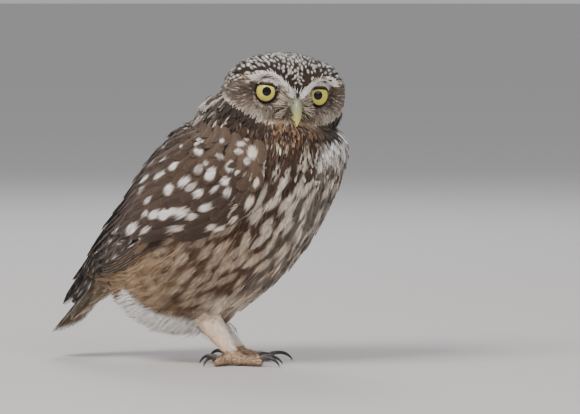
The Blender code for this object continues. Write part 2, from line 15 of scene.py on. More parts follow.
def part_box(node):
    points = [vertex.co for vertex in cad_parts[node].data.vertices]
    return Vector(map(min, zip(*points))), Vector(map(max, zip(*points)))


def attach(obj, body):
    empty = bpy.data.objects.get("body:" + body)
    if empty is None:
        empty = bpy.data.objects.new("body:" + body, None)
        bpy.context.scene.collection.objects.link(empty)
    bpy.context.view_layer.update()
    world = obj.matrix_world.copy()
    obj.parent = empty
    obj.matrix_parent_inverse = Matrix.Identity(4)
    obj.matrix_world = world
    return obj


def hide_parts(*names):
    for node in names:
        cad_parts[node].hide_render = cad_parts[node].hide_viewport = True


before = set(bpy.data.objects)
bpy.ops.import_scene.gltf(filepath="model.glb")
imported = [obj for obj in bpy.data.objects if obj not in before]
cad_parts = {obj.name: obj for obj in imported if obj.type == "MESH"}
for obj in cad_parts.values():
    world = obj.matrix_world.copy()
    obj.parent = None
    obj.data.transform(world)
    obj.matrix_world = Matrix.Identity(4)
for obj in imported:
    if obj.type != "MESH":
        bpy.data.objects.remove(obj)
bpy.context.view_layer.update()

MM = 0.001
# The trunk's sections, from the root of the tail to the neck. Each has the x and z of its upper edge, those of its
# lower edge, and half of its width.
SECTIONS = (
    (-106, 36.5, -102, 28, 8),
    (-98.5, 46.5, -92, 32, 13),
    (-90, 57.5, -82, 36, 18),
    (-81.5, 69.5, -72, 38, 25),
    (-73, 81, -62, 24, 32),
    (-64, 93, -38, 16, 38),
    (-56, 106, -13, 23, 41),
    (-47, 117.5, 12, 39.5, 42),
    (-38.5, 126, 33, 60.5, 41.5),
    (-31, 132.5, 48, 83.5, 40),
    (-25, 137, 57, 104, 38),
    (-22, 144, 61, 119, 35.5),
    (-18, 153, 59, 130, 31),
)
LAST = len(SECTIONS) - 1
SECTION_POWER = 2.2
NECK_TOP = 11.7 / LAST
TRUNK_LENGTH = 190.0

HEAD_AT = (23.2, 0.0, 150.0)
HEAD_YAW, HEAD_DOWN, HEAD_ROLL = -52.0, 4.0, -4.5
FACE_DEPTH, NAPE_DEPTH, HEAD_HALF_WIDTH, CROWN_HEIGHT, CHIN_DEPTH = 28.0, 34.0, 35.0, 25.0, 23.0
HEAD_POWER = 2.35
FORM_REACH = 27.0
# Low bumps and hollows on both sides of the head: each one's direction ahead, aside and up, its height and its
# spread.
HEAD_FORMS = (
    (FORM_REACH, 4.0, 6.0, 2.2, 3.0),
    (FORM_REACH, 8.5, 10.5, 2.6, 3.4),
    (FORM_REACH, 14.0, 13.0, 2.6, 3.6),
    (FORM_REACH, 20.0, 15.5, 2.0, 3.8),
    (FORM_REACH, 26.5, 15.5, 1.2, 4.5),
    (FORM_REACH, 18.0, 3.0, -3.6, 6.5),
    (FORM_REACH, 27.0, 1.0, -1.2, 5.0),
    (FORM_REACH, 21.0, -14.0, 1.6, 5.0),
    (FORM_REACH, 29.0, -7.0, 1.6, 5.5),
    (FORM_REACH, 11.0, -17.0, 1.0, 5.0),
    (FORM_REACH, 3.5, -2.0, 1.6, 3.4),
    (-16.0, 22.0, 18.0, -4.5, 13.0),
    (10.0, 30.0, 14.0, 1.5, 9.0),
)
EYE_SIDE, EYE_UP = 18.4, 4.0
EYE_RADIUS, EYE_SINK = 8.0, 5.5
EYE_OUT, EYE_LIFT = 26.0, 2.0

# The bill's sections from its base to its tip, as the trunk's.
UPPER_BILL = (
    (22, 1.5, 21, -6.3, 2.8),
    (28, 1.6, 25, -7.2, 3.1),
    (32.3, 0.0, 28, -8.3, 2.9),
    (34.6, -3.6, 30.6, -9.2, 2.5),
    (35.3, -7.6, 32.4, -10.7, 1.9),
    (34.8, -11.4, 33.2, -12.2, 1.1),
    (34.1, -14.0, 33.6, -13.9, 0.35),
)
LOWER_BILL = (
    (20, -6.8, 19.5, -10.0, 1.9),
    (24, -7.7, 23.2, -11.0, 1.6),
    (27.4, -8.9, 26.6, -11.4, 1.2),
    (29.8, -10.1, 29.3, -11.5, 0.8),
    (31.2, -11.0, 30.9, -11.6, 0.3),
)
NOSTRIL_AT = (30.4, 3.1, -1.6)

# Degrees from the middle of the back to the wing's lower edge, at even shares of the trunk.
WING_EDGE = (80, 92, 101, 100, 93, 86, 87, 97, 108, 110, 102, 92, 82)
WING_TOP = 12.0
WING_FRONT = 9.7 / LAST
WING_DEPTH = 2.6
VANE_SINK, VANE_LIFT = 0.9, 1.3

TAIL_ROOT, TAIL_LENGTH, TAIL_SLOPE = (-75.2, 0.0, 61.5), 62.0, 49.0
TAIL_HALF_WIDTH, TAIL_ROOF = 12.5, 1.2

# The bird's right is -1, and its left is 1.
FOOT_AT = {-1: (-1.6, -14.0), 1: (-9.6, 14.0)}
LEG_LEAN, LEG_TOP = {-1: 13.0, 1: 19.0}, 25.0
ANKLE = 8.5
# Each toe's direction in degrees, its length and its claw's.
TOES = (
    ("inner", -18, 17.0, 13.0),
    ("middle", 10, 20.0, 13.0),
    ("outer", 112, 13.5, 10.0),
    ("hind", 172, 9.5, 10.5),
)
TOE_RADIUS, TOE_HEIGHT = 2.9, 2.35
CLAW_RADIUS, CLAW_SIDES = 1.1, 24

BODY_COAT, HEAD_COAT = 3.0, 1.3  # how far the skin lies inside the solids
LOWEST = 0.15  # no feather comes nearer to the floor
COAT_REAR, COAT_FRONT = 0.23, 0.985  # the shares of the trunk between which it has body feathers
HEAD_CORE = (30.0, 35.0, 25.0)  # the head's half sizes, inside which the body has no feathers
HEAD_SPAN = 30.0
PUPIL_EDGE, IRIS_EDGE = 18.3, 60.0  # degrees from the middle of the eye
SPOT_RISE, SPOT_REACH = 3.2, 14.0  # how high the wing's spots are over the trunk, and how far one may reach
WING_TIP_REACH = 5.5  # how far the longest wing feathers pass their tips' places
FLIGHT_NOTCHES, TAIL_PAIRS, TAIL_BARS = 6.5, 6, 5.0
LEG_TUFTS, BRISTLES, LID_TUFTS, TOE_TUFTS = 3400, 320, 640, 1400
FAR = 99.0
PATCH = 0.003  # the part of the bake map that a small feather takes


def srgb(red, green, blue):
    """A colour given as it shows on a screen, from 0 to 255, turned into linear light."""
    value = np.array([red, green, blue]) / 255.0
    return np.where(value <= 0.04045, value / 12.92, ((value + 0.055) / 1.055) ** 2.4)


CROWN_DARK, CROWN_SPOT = srgb(50, 37, 28), srgb(242, 233, 222)
WING_BROWN, WING_DARK, WING_SPOT = srgb(88, 67, 52), srgb(46, 34, 26), srgb(252, 246, 240)
BREAST_BROWN, BREAST_WHITE = srgb(70, 49, 34), srgb(246, 234, 217)
BELLY_BUFF, VENT_WHITE, LEG_BUFF = srgb(167, 138, 104), srgb(252, 249, 244), srgb(255, 218, 184)
DISC, DISC_PALE, BROW_WHITE = srgb(112, 93, 77), srgb(196, 176, 154), srgb(250, 244, 238)
# The first of these is the dark of the face's marks, also painted as shade beside the base of the bill.
DARK_MARK_AND_SHADE, RUFF_DARK, RUFF_RUST = srgb(62, 47, 37), srgb(52, 38, 29), srgb(122, 84, 56)
OLIVE, SHOULDER_GREY, CLOUD_GREY = srgb(118, 108, 86), srgb(112, 94, 78), srgb(138, 118, 100)
SPOT_WARM, FLANK_BROWN, FLANK_WHITE = srgb(232, 200, 164), srgb(96, 70, 49), srgb(224, 204, 178)
UNDERTAIL, TEMPLE, CHEEK = srgb(226, 214, 192), srgb(204, 184, 160), srgb(214, 202, 188)
FACE_INNER, FACE_CHIN, FACE_BAND = srgb(228, 214, 196), srgb(186, 154, 122), srgb(238, 224, 206)
BROW_SIDE_TONE, BRISTLE_PALE, CHIN_TAN = srgb(226, 208, 186), srgb(214, 196, 174), srgb(150, 120, 92)
RUFF_TIP, LID_RIM, EYE_RIM = srgb(196, 164, 130), srgb(24, 18, 15), srgb(38, 30, 26)
IRIS, PUPIL = srgb(232, 216, 96), np.array([0.004, 0.004, 0.005])
BILL_BASE, BILL_TIP = srgb(142, 150, 122), srgb(222, 208, 112)
# The last colour here is painted shade, the dark inside each nostril's opening.
BILL_ROOT, NOSTRIL_SHADE = srgb(122, 128, 108), srgb(30, 26, 22)
TOE_TONE, SOLE_TONE, TOE_BRISTLE = srgb(164, 138, 108), srgb(120, 98, 76), srgb(150, 126, 98)
CLAW_ROOT, CLAW_TIP = srgb(92, 84, 80), srgb(38, 36, 38)


def signed_power(value, power):
    return np.sign(value) * np.abs(value) ** power


def read_curve(rows, share):
    """The smooth curve through evenly spaced rows, read at shares from 0 to 1 of the way along them."""
    rows = np.asarray(rows, float)
    rows = rows.reshape(len(rows), -1)
    last = len(rows) - 1
    spot = np.asarray(share, float) * last
    first = np.clip(np.floor(spot).astype(int), 0, last - 1)
    part = (spot - first)[..., None]
    ends = np.concatenate([[2 * rows[0] - rows[1]], rows, [2 * rows[-1] - rows[-2]]])
    a, b, c, d = (ends[first + step] for step in range(4))
    curve = 2 * b + (c - a) * part + (2 * a - 5 * b + 4 * c - d) * part**2
    return 0.5 * (curve + (3 * b - a - 3 * c + d) * part**3)


def oval(rows, power, share, around):
    row = read_curve(rows, share)
    upper, lower, half_width = row[..., 0:2], row[..., 2:4], row[..., 4]
    middle, arm = (upper + lower) / 2, (upper - lower) / 2
    along_arm = signed_power(np.cos(around), 2 / power)
    x = middle[..., 0] + arm[..., 0] * along_arm
    z = middle[..., 1] + arm[..., 1] * along_arm
    y = half_width * signed_power(np.sin(around), 2 / power)
    return np.stack([x, y, z], axis=-1)


def unit(vectors):
    return vectors / np.maximum(np.linalg.norm(vectors, axis=-1, keepdims=True), 1e-9)


def smooth_step(low, high, value):
    part = np.clip((value - low) / (high - low), 0, 1)
    return part * part * (3 - 2 * part)


def fall(near, far, value):
    """1 up to near, falling smoothly to 0 at far."""
    return 1 - smooth_step(near, far, value)


def bell(value, middle, spread):
    return np.exp(-(((value - middle) / spread) ** 2))


def trunk_point(share, around):
    return oval(SECTIONS, SECTION_POWER, share, around)


def trunk_normal(share, around):
    step = 0.01
    along = trunk_point(share + step, around) - trunk_point(share - step, around)
    across = trunk_point(share, around + step) - trunk_point(share, around - step)
    return unit(np.cross(along, across))


def head_radius(direction):
    forward = direction[..., 0] > 0
    depth = np.where(forward, FACE_DEPTH, NAPE_DEPTH)
    height = np.where(direction[..., 2] > 0, CROWN_HEIGHT, CHIN_DEPTH)
    sizes = np.stack([depth, np.full_like(depth, HEAD_HALF_WIDTH), height], axis=-1)
    radius = (np.abs(direction / sizes) ** HEAD_POWER).sum(axis=-1) ** (-1 / HEAD_POWER)
    for ahead, side, up, form_height, spread in HEAD_FORMS:
        for hand in (-1, 1):
            middle = np.array([ahead, hand * side, up])
            reach = np.linalg.norm(middle)
            angle = np.arccos(np.clip(direction @ middle / reach, -1, 1))
            radius = radius + form_height * np.exp(-((angle * reach / spread) ** 2) / 2)
    return radius


def turn(axis, degrees):
    c, s = math.cos(math.radians(degrees)), math.sin(math.radians(degrees))
    i, j = [(1, 2), (2, 0), (0, 1)]["XYZ".index(axis)]
    matrix = np.eye(3)
    matrix[i, i] = matrix[j, j] = c
    matrix[j, i], matrix[i, j] = s, -s
    return matrix


def head_surface(side, up):
    direction = unit(np.array([FORM_REACH, side, up]))
    return direction * head_radius(direction)


def eye_place(hand):
    out, lift = math.radians(EYE_OUT), math.radians(EYE_LIFT)
    flat = math.cos(lift)
    looks = np.array([math.cos(out) * flat, hand * math.sin(out) * flat, math.sin(lift)])
    return head_surface(hand * EYE_SIDE, EYE_UP) - looks * EYE_SINK, looks


HEAD_TURN = turn("Z", HEAD_YAW) @ turn("Y", HEAD_DOWN) @ turn("X", HEAD_ROLL)


def from_head(points):
    return np.asarray(points) @ HEAD_TURN.T + HEAD_AT


def to_head(points):
    return (np.asarray(points) - HEAD_AT) @ HEAD_TURN


EYE_BOX = np.array(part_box("eye_left")) / MM
SHIFT = EYE_BOX.mean(axis=0) - from_head(eye_place(1)[0])


def to_world(points):
    return (np.asarray(points) + SHIFT) * MM


def tail_point(along, side, over):
    """A point of the tail: along its length, across it and over its middle layer."""
    slope = math.radians(TAIL_SLOPE)
    heading = np.array([-math.cos(slope), 0.0, -math.sin(slope)])
    rise = np.array([-math.sin(slope), 0.0, math.cos(slope)])
    drop = TAIL_ROOF * (side / TAIL_HALF_WIDTH) ** 2
    place = np.asarray(along)[..., None] * heading + np.asarray(over - drop)[..., None] * rise
    place[..., 1] += side
    return place + TAIL_ROOT


def wing_angle(hand, share, across):
    low = read_curve(WING_EDGE, share)[..., 0]
    return hand * np.radians(WING_TOP + (low - WING_TOP) * across)


# Materials

def node(tree, kind, inputs=None, **settings):
    """A new node with its settings, and its inputs set to numbers or linked to other nodes' sockets."""
    made = tree.nodes.new("ShaderNode" + kind)
    for name, value in settings.items():
        setattr(made, name, value)
    for name, value in (inputs or {}).items():
        if isinstance(value, bpy.types.NodeSocket):
            tree.links.new(value, made.inputs[name])
        else:
            made.inputs[name].default_value = value
    return made


def remap(tree, value, low, high, to_low, to_high):
    """A socket with a value moved from one range to another."""
    ranges = {"From Min": low, "From Max": high, "To Min": to_low, "To Max": to_high}
    return node(tree, "MapRange", {"Value": value, **ranges}).outputs["Result"]


def noise(tree, scale, detail):
    place = node(tree, "TexCoord").outputs["Object"]
    return node(tree, "TexNoise", {"Vector": place, "Scale": scale, "Detail": detail}).outputs["Fac"]


def shade(tree, shader, level, rough, height=None, strength=0.0, distance=0.0):
    """Links the mesh's own colours, scaled by a level, to the shader, with its roughness and its bump."""
    colour = node(tree, "Attribute", attribute_name="Col").outputs["Color"]
    scaled = node(tree, "VectorMath", operation="SCALE")
    tree.links.new(colour, scaled.inputs[0])
    tree.links.new(level, scaled.inputs["Scale"])
    tree.links.new(scaled.outputs["Vector"], shader.inputs["Base Color"])
    tree.links.new(rough, shader.inputs["Roughness"])
    if strength:
        bump = node(tree, "Bump", {"Strength": strength, "Distance": distance, "Height": height})
        tree.links.new(bump.outputs["Normal"], shader.inputs["Normal"])


def new_material(name, roughness, specular=0.3, sheen=0.0, coat=0.0):
    material = bpy.data.materials.new(name)
    material.use_nodes = True
    tree = material.node_tree
    shader = tree.nodes["Principled BSDF"]
    shader.inputs["Roughness"].default_value = roughness
    shader.inputs["Specular IOR Level"].default_value = specular
    shader.inputs["Sheen Weight"].default_value = sheen
    shader.inputs["Sheen Roughness"].default_value = 0.6
    shader.inputs["Coat Weight"].default_value = coat
    shader.inputs["Coat Roughness"].default_value = 0.03
    return material, tree, shader


def mottled(name, roughness, grain, contrast, bump=0.0, bump_scale=900.0, **extra):
    """A material of the mesh's own colours, with a fine noise in its level and roughness, and one in its bump."""
    material, tree, shader = new_material(name, roughness, **extra)
    grains = noise(tree, grain, 4.0)
    level = remap(tree, grains, 0.3, 0.7, 1.0 - contrast, 1.0 + contrast)
    rough = remap(tree, grains, 0.0, 1.0, roughness - 0.08, min(1.0, roughness + 0.08))
    height = noise(tree, bump_scale, 3.0) if bump else None
    shade(tree, shader, level, rough, height, bump, 0.0004)
    return material


def feather_material():
    """Barbs as fine slanting lines on each feather's own map, over the mesh's colours."""
    material, tree, shader = new_material("feather", 0.78, specular=0.18, sheen=0.22)
    parts = node(tree, "SeparateXYZ", {0: node(tree, "UVMap", uv_map="Vane").outputs["UV"]})
    side = node(tree, "Math", {0: parts.outputs["X"]}, operation="ABSOLUTE").outputs[0]
    slant = node(tree, "Math", {0: side, 1: -0.55, 2: parts.outputs["Y"]}, operation="MULTIPLY_ADD").outputs[0]
    lines = node(tree, "Math", {0: slant, 1: 9.0}, operation="MULTIPLY").outputs[0]
    wave = node(tree, "Math", {0: lines}, operation="SINE").outputs[0]
    cloud = noise(tree, 420.0, 3.0)
    mixed = node(tree, "Math", {0: wave, 1: 0.04, 2: cloud}, operation="MULTIPLY_ADD").outputs[0]
    level = remap(tree, mixed, 0.25, 0.75, 0.84, 1.16)
    shade(tree, shader, level, remap(tree, cloud, 0.0, 1.0, 0.68, 0.9), wave, 0.25, 0.0002)
    return material


FEATHER = feather_material()


# Meshes

def fast_mesh(name, material, points, triangles, colours, bake_map, vane_map=None):
    """A mesh object from arrays in millimetres, with a colour and a place on each map for every point."""
    mesh = bpy.data.meshes.new(name)
    triangles = np.asarray(triangles, np.int32)
    mesh.vertices.add(len(points))
    mesh.vertices.foreach_set("co", to_world(points).astype(np.float32).ravel())
    mesh.loops.add(triangles.size)
    mesh.loops.foreach_set("vertex_index", triangles.ravel())
    mesh.polygons.add(len(triangles))
    mesh.polygons.foreach_set("loop_start", np.arange(0, triangles.size, 3, dtype=np.int32))
    mesh.polygons.foreach_set("use_smooth", np.ones(len(triangles), bool))
    mesh.update(calc_edges=True)
    full = np.ones((len(points), 4), np.float32)
    full[:, :3] = np.clip(colours, 0.002, 1)
    layer = mesh.color_attributes.new("Col", "FLOAT_COLOR", "POINT")
    layer.data.foreach_set("color", full.ravel())
    for map_name, values in (("OFBake", bake_map), ("Vane", vane_map)):
        if values is None:
            continue
        loops = np.asarray(values, np.float32)[triangles.ravel()]
        mesh.uv_layers.new(name=map_name).data.foreach_set("uv", loops.ravel())
    mesh.validate()
    mesh.materials.append(material)
    made = bpy.data.objects.new(name, mesh)
    bpy.context.scene.collection.objects.link(made)
    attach(made, "root")
    return made


def grid_faces(grid):
    """Two triangles between each four neighbours in a grid of points' numbers."""
    a, b, c, d = grid[:-1, :-1], grid[:-1, 1:], grid[1:, 1:], grid[1:, :-1]
    return np.stack([np.stack([a, b, c], axis=-1), np.stack([a, c, d], axis=-1)], axis=1).reshape(-1, 3)


def outward(points, faces):
    """The triangles of a closed body, all turned round if they face into it."""
    inside_out = np.linalg.det(points[faces] - points.mean(axis=0)).sum() < 0
    return faces[:, ::-1] if inside_out else faces


def loft(rings):
    """Points and triangles of a closed body through rings of equal count."""
    count, sides = len(rings), len(rings[0])
    points = np.concatenate([*rings, [np.mean(rings[0], axis=0)], [np.mean(rings[-1], axis=0)]])
    grid = np.pad(np.arange(count * sides).reshape(count, sides), ((0, 0), (0, 1)), mode="wrap")
    first, last = grid[0], grid[-1]
    start = np.stack([first[1:], first[:-1], np.full(sides, count * sides)], axis=1)
    end = np.stack([last[:-1], last[1:], np.full(sides, count * sides + 1)], axis=1)
    return points, outward(points, np.concatenate([grid_faces(grid), start, end]))


def plain_object(name, points, faces):
    mesh = bpy.data.meshes.new(name)
    mesh.from_pydata(to_world(points).tolist(), [], np.asarray(faces).tolist())
    mesh.update()
    made = bpy.data.objects.new(name, mesh)
    bpy.context.scene.collection.objects.link(made)
    return made


def joined(pieces):
    points, faces, start = [], [], 0
    for piece_points, piece_faces in pieces:
        points.append(piece_points)
        faces.append(np.asarray(piece_faces) + start)
        start += len(piece_points)
    return np.concatenate(points), np.concatenate(faces)


def remeshed(name, pieces, voxel, rounds):
    """One closed surface round all the pieces, smoothed: its points in millimetres, its faces as triangles."""
    made = plain_object(name, *joined(pieces))
    shrink = made.modifiers.new("remesh", "REMESH")
    shrink.mode, shrink.voxel_size, shrink.use_smooth_shade = "VOXEL", voxel * MM, True
    soften = made.modifiers.new("soften", "SMOOTH")
    soften.factor, soften.iterations = 0.5, rounds
    split = made.modifiers.new("split", "TRIANGULATE")
    split.quad_method = "SHORTEST_DIAGONAL"
    graph = bpy.context.evaluated_depsgraph_get()
    mesh = bpy.data.meshes.new_from_object(made.evaluated_get(graph))
    points = np.empty(len(mesh.vertices) * 3, np.float32)
    mesh.vertices.foreach_get("co", points)
    faces = np.empty(len(mesh.polygons) * 3, np.int32)
    mesh.polygons.foreach_get("vertices", faces)
    bpy.data.objects.remove(made)
    bpy.data.meshes.remove(mesh)
    return points.reshape(-1, 3) / MM - SHIFT, faces.reshape(-1, 3)


class Ground:
    """A surface that feathers are laid on."""

    def __init__(self, points, faces):
        self.tree = BVHTree.FromPolygons(points.tolist(), faces.tolist())
        corners = points[faces]
        face_normals = np.cross(corners[:, 1] - corners[:, 0], corners[:, 2] - corners[:, 0])
        smooth = np.zeros_like(points)
        for k in range(3):
            np.add.at(smooth, faces[:, k], face_normals)
        self.normals = unit(smooth)
        self.points, self.faces = points, faces

    def nearest(self, places):
        """The nearest points of the surface, and the smooth directions out of it there."""
        shape = places.shape
        flat = places.reshape(-1, 3)
        found, index = np.empty_like(flat), np.empty(len(flat), int)
        for k, place in enumerate(flat.tolist()):
            point, _, face, _ = self.tree.find_nearest(place)
            found[k], index[k] = point, face
        corners = self.points[self.faces[index]]
        away = np.linalg.norm(corners - found[:, None], axis=-1) + 1e-3
        weights = (1 / away) / (1 / away).sum(axis=1, keepdims=True)
        normals = unit((self.normals[self.faces[index]] * weights[..., None]).sum(axis=1))
        return found.reshape(shape), normals.reshape(shape)


def circle(sides):
    return np.arange(sides) * 2 * math.pi / sides


def trunk_rings(first, last, count, sides, inset):
    around = circle(sides)
    rings = []
    for share in np.linspace(first, last, count):
        spot = np.full(sides, share)
        rings.append(trunk_point(spot, around) - inset * trunk_normal(spot, around))
    return rings


def head_rings(count, sides, inset):
    around = circle(sides)
    rings = []
    for angle in np.linspace(0, math.pi, count + 2)[1:-1]:
        flat = math.sin(angle)
        ahead = np.full(sides, math.cos(angle))
        direction = np.stack([ahead, flat * np.sin(around), flat * np.cos(around)], axis=-1)
        rings.append(from_head(direction * (head_radius(direction) - inset)[:, None]))
    return rings


def leg_line(hand, height):
    x, y = FOOT_AT[hand]
    lean = LEG_LEAN[hand] * (height - ANKLE) / (LEG_TOP - ANKLE)
    return np.array([x - 1.5 - lean, y, height])


def leg_rings(hand, rows, sides=24):
    around = circle(sides)
    rings = []
    for height, long, wide in rows:
        ring = np.stack([long * np.cos(around), wide * np.sin(around), 0 * around], axis=-1)
        rings.append(leg_line(hand, height) + ring)
    return rings


def skin_pieces():
    pieces = [loft(trunk_rings(1.9 / LAST, 11.2 / LAST, 60, 64, BODY_COAT))]
    neck = trunk_rings(9.5 / LAST, NECK_TOP, 12, 64, BODY_COAT)
    middle = neck[-1].mean(axis=0)
    for scale, rise in ((0.9, 2.5), (0.75, 5.0), (0.5, 7.0)):
        neck.append(middle + (neck[11] - middle) * scale + [0, 0, rise])
    pieces.append(loft(neck))
    pieces.append(loft(head_rings(60, 72, HEAD_COAT)))
    for hand in (-1, 1):
        rows = ((46, 9.5, 8.5), (38, 9.0, 8.0), (30, 8.0, 7.2), (22, 6.8, 6.0), (15, 5.4, 4.8), (8, 4.2, 3.9))
        pieces.append(loft(leg_rings(hand, rows)))
    return pieces


def with_sockets(points):
    """The skin's points with room for the eyeballs and their lids."""
    for hand in (-1, 1):
        centre, looks = eye_place(hand)
        centre, looks = from_head(centre), HEAD_TURN @ looks
        from_eye = points - centre
        ahead = from_eye @ looks
        away = np.linalg.norm(from_eye - ahead[:, None] * looks, axis=1)
        most = 3.4 + np.maximum(0, away - 7.0) * 1.1
        over = np.maximum(0, ahead - most) * (away < 10.5) * (ahead > 0)
        points = points - over[:, None] * looks
    return points


SKIN_POINTS, SKIN_FACES = remeshed("skin_raw", skin_pieces(), 1.15, 5)
SKIN_POINTS = with_sockets(SKIN_POINTS)


def wing_bed(hand):
    """The flesh of a folded wing, which its vanes are rooted in."""
    rows, columns = 50, 24
    shares = np.linspace(0.17, WING_FRONT - 0.01, rows)[:, None] * np.ones(columns)
    across = np.linspace(0.02, 0.97, columns)[None] * np.ones((rows, 1))
    around = wing_angle(hand, shares, across)
    edge = np.minimum(np.minimum(across, 1 - across) * 6, np.minimum(shares - 0.16, WING_FRONT - shares) * 14)
    high = np.sqrt(np.clip(edge, 0, 1)) * 1.3
    normal = trunk_normal(shares, around)
    upper = trunk_point(shares, around) + normal * high[..., None]
    lower = trunk_point(shares, around) - normal * 1.6
    points = np.concatenate([upper.reshape(-1, 3), lower.reshape(-1, 3)])
    under = rows * columns
    faces = []
    for row in range(rows - 1):
        for column in range(columns - 1):
            a = row * columns + column
            b, c, d = a + 1, a + columns + 1, a + columns
            faces += [(a, b, c), (a, c, d)]
            faces += [(under + a, under + c, under + b), (under + a, under + d, under + c)]
    rim = [(0, k) for k in range(columns)] + [(k, columns - 1) for k in range(1, rows)]
    rim += [(rows - 1, k) for k in range(columns - 2, -1, -1)] + [(k, 0) for k in range(rows - 2, 0, -1)]
    rim = [row * columns + column for row, column in rim]
    for a, b in zip(rim, rim[1:] + rim[:1], strict=True):
        faces += [(b, a, under + a), (b, under + a, under + b)]
    return points, outward(points, np.array(faces))


# Feathers

def barb_template(
    rng, barbs, aspect, peak=0.6, tip_power=2.2, low=0.35, fray=0.1, bare=0.05, angles=(60, 22), levels=(0.0, 0.45, 0.8)
):
    """A feather lying flat, its shaft from (0, 0) to (0, 1), as barbs that leave the shaft on both sides.

    aspect is half of the width. It returns each point's place across, along and over the shaft, the triangles, and
    how light each point is.
    """

    def outline(y):
        y = np.asarray(y, float)
        before = low + (1 - low) * np.sin(np.clip(y / peak, 0, 1) * math.pi / 2)
        after = np.clip(1 - np.clip((y - peak) / (1 - peak), 0, 1) ** tip_power, 0, 1) ** (1 / 2.0)
        return aspect * np.where(y < peak, before, after)

    steps = np.linspace(0, 1, 90)
    x_, y_, z_, faces, grain = [], [], [], [], []
    edges = np.arange(barbs + 1) / barbs
    root = bare + (0.965 - bare) * edges**0.93
    angle = np.radians(angles[0] + (angles[1] - angles[0]) * edges**1.5)

    def reach(start, theta):
        x, y = steps * math.sin(theta), start + steps * math.cos(theta)
        over = np.flatnonzero(x >= outline(y) * (y <= 1))
        return steps[over[over > 0][0]] if len(over[over > 0]) else 1.0

    lengths = [reach(start, theta) for start, theta in zip(root, angle, strict=True)]
    for sign in (-1, 1):
        split = 0.0
        for k in range(barbs):
            start = len(x_)
            if rng.random() < 0.12:
                split = rng.uniform(-0.02, 0.02)
            tilt = rng.uniform(0.1, 0.2) * (root[k + 1] - root[k])
            for q in levels:
                for edge, lift in ((k, tilt), (k + 1, -tilt)):
                    r = lengths[edge] * q
                    x_.append(sign * r * math.sin(angle[edge]))
                    y_.append(root[edge] + r * math.cos(angle[edge]) + split * q)
                    z_.append(lift * min(1, q * 2) - 0.35 * (r * math.sin(angle[edge])) ** 2 / aspect)
            long = (lengths[k] + lengths[k + 1]) / 2 * (1 + rng.uniform(-fray, fray * 0.6))
            theta = (angle[k] + angle[k + 1]) / 2 - 0.06
            x_.append(sign * long * math.sin(theta))
            y_.append((root[k] + root[k + 1]) / 2 + long * math.cos(theta) + split)
            z_.append(-0.4 * (long * math.sin(theta)) ** 2 / aspect)
            own = []
            for a in range(0, 2 * len(levels) - 2, 2):
                own += [(a, a + 1, a + 3), (a, a + 3, a + 2)]
            own.append((a + 2, a + 3, a + 4))
            grain += [1 + rng.uniform(-0.09, 0.09)] * (2 * len(levels) + 1)
            faces += [tuple(start + i for i in (f if sign > 0 else f[::-1])) for f in own]
    start = len(x_)
    r = lengths[-1] * 0.8
    side, ahead = r * math.sin(angle[-1]), root[-1] + r * math.cos(angle[-1])
    x_ += [0.0, -side, side, 0.0]
    y_ += [root[-1] - 0.01, ahead, ahead, 1.0]
    z_ += [0.0] * 4
    faces += [(start, start + 3, start + 1), (start, start + 2, start + 3)]
    return np.array(x_), np.array(y_), np.array(z_), np.array(faces), np.array(grain + [1.0] * 4)


def along_line(line, t):
    """line has (N, K, 3) points; the points at parts t (V) of the way along: (N, V, 3)."""
    spot = np.clip(t, 0, 1) * (line.shape[1] - 1)
    first = np.clip(np.floor(spot).astype(int), 0, line.shape[1] - 2)
    part = (spot - first)[None, :, None]
    return line[:, first] * (1 - part) + line[:, first + 1] * part


class Coat:
    """Gathers feathers laid out as arrays, and makes them one mesh."""

    def __init__(self, name, slot):
        self.name, self.slot = name, slot
        self.points, self.faces, self.colours, self.bake, self.vane = [], [], [], [], []
        self.count = 0

    def lay(self, template, picks, lie, half_width, colour, bake, size, patch):
        """Lays the picked feathers. lie is their (N, K, 3) centre lines, sides and rises; bake is (N, 2)."""
        x, y, z, faces, grain = template
        aspect = np.abs(x).max()
        place, wide, high = (along_line(lines[picks], y) for lines in lie)
        half_width = half_width[picks]
        across = x[None, :, None] * (half_width / aspect)[:, None, None]
        over = z[None, :, None] * (half_width / aspect)[:, None, None]
        points = place + unit(wide) * across + unit(high) * over
        u = x / aspect
        shades = colour(u[None], y[None], picks, points) * grain[None, :, None]
        number, each = points.shape[:2]
        self.faces.append((faces[None] + (np.arange(number) * each)[:, None, None] + self.count).reshape(-1, 3))
        self.points.append(points.reshape(-1, 3))
        self.colours.append(np.broadcast_to(shades, points.shape).reshape(-1, 3))
        local = np.stack([u * 0.5, y - 0.5], axis=-1)[None] * np.asarray(patch)
        self.bake.append((bake[picks][:, None] + local).reshape(-1, 2))
        size = np.full(number, 1.0) if size is None else size[picks]
        vane = np.stack([u[None] * half_width[:, None], y[None] * size[:, None]], axis=-1)
        self.vane.append(vane.reshape(-1, 2))
        self.count += number * each

    def make(self, *replaced):
        arrays = (self.points, self.faces, self.colours, self.bake, self.vane)
        points, faces, colours, bake, vane = (np.concatenate(rows) for rows in arrays)
        points[:, 2] = np.maximum(points[:, 2], LOWEST)
        made = fast_mesh(self.name, FEATHER, points, faces, colours, bake, vane)
        if replaced:
            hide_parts(*replaced)
        print(self.name, len(made.data.polygons), "triangles")
        return made


def bezier_lines(root, middle, tip, samples=6):
    """(N, K, 3) points on the curves from root to tip that pass through middle."""
    t = np.linspace(0, 1, samples)[None, :, None]
    control = 2 * middle - (root + tip) / 2
    return (1 - t) ** 2 * root[:, None] + 2 * (1 - t) * t * control[:, None] + t**2 * tip[:, None]


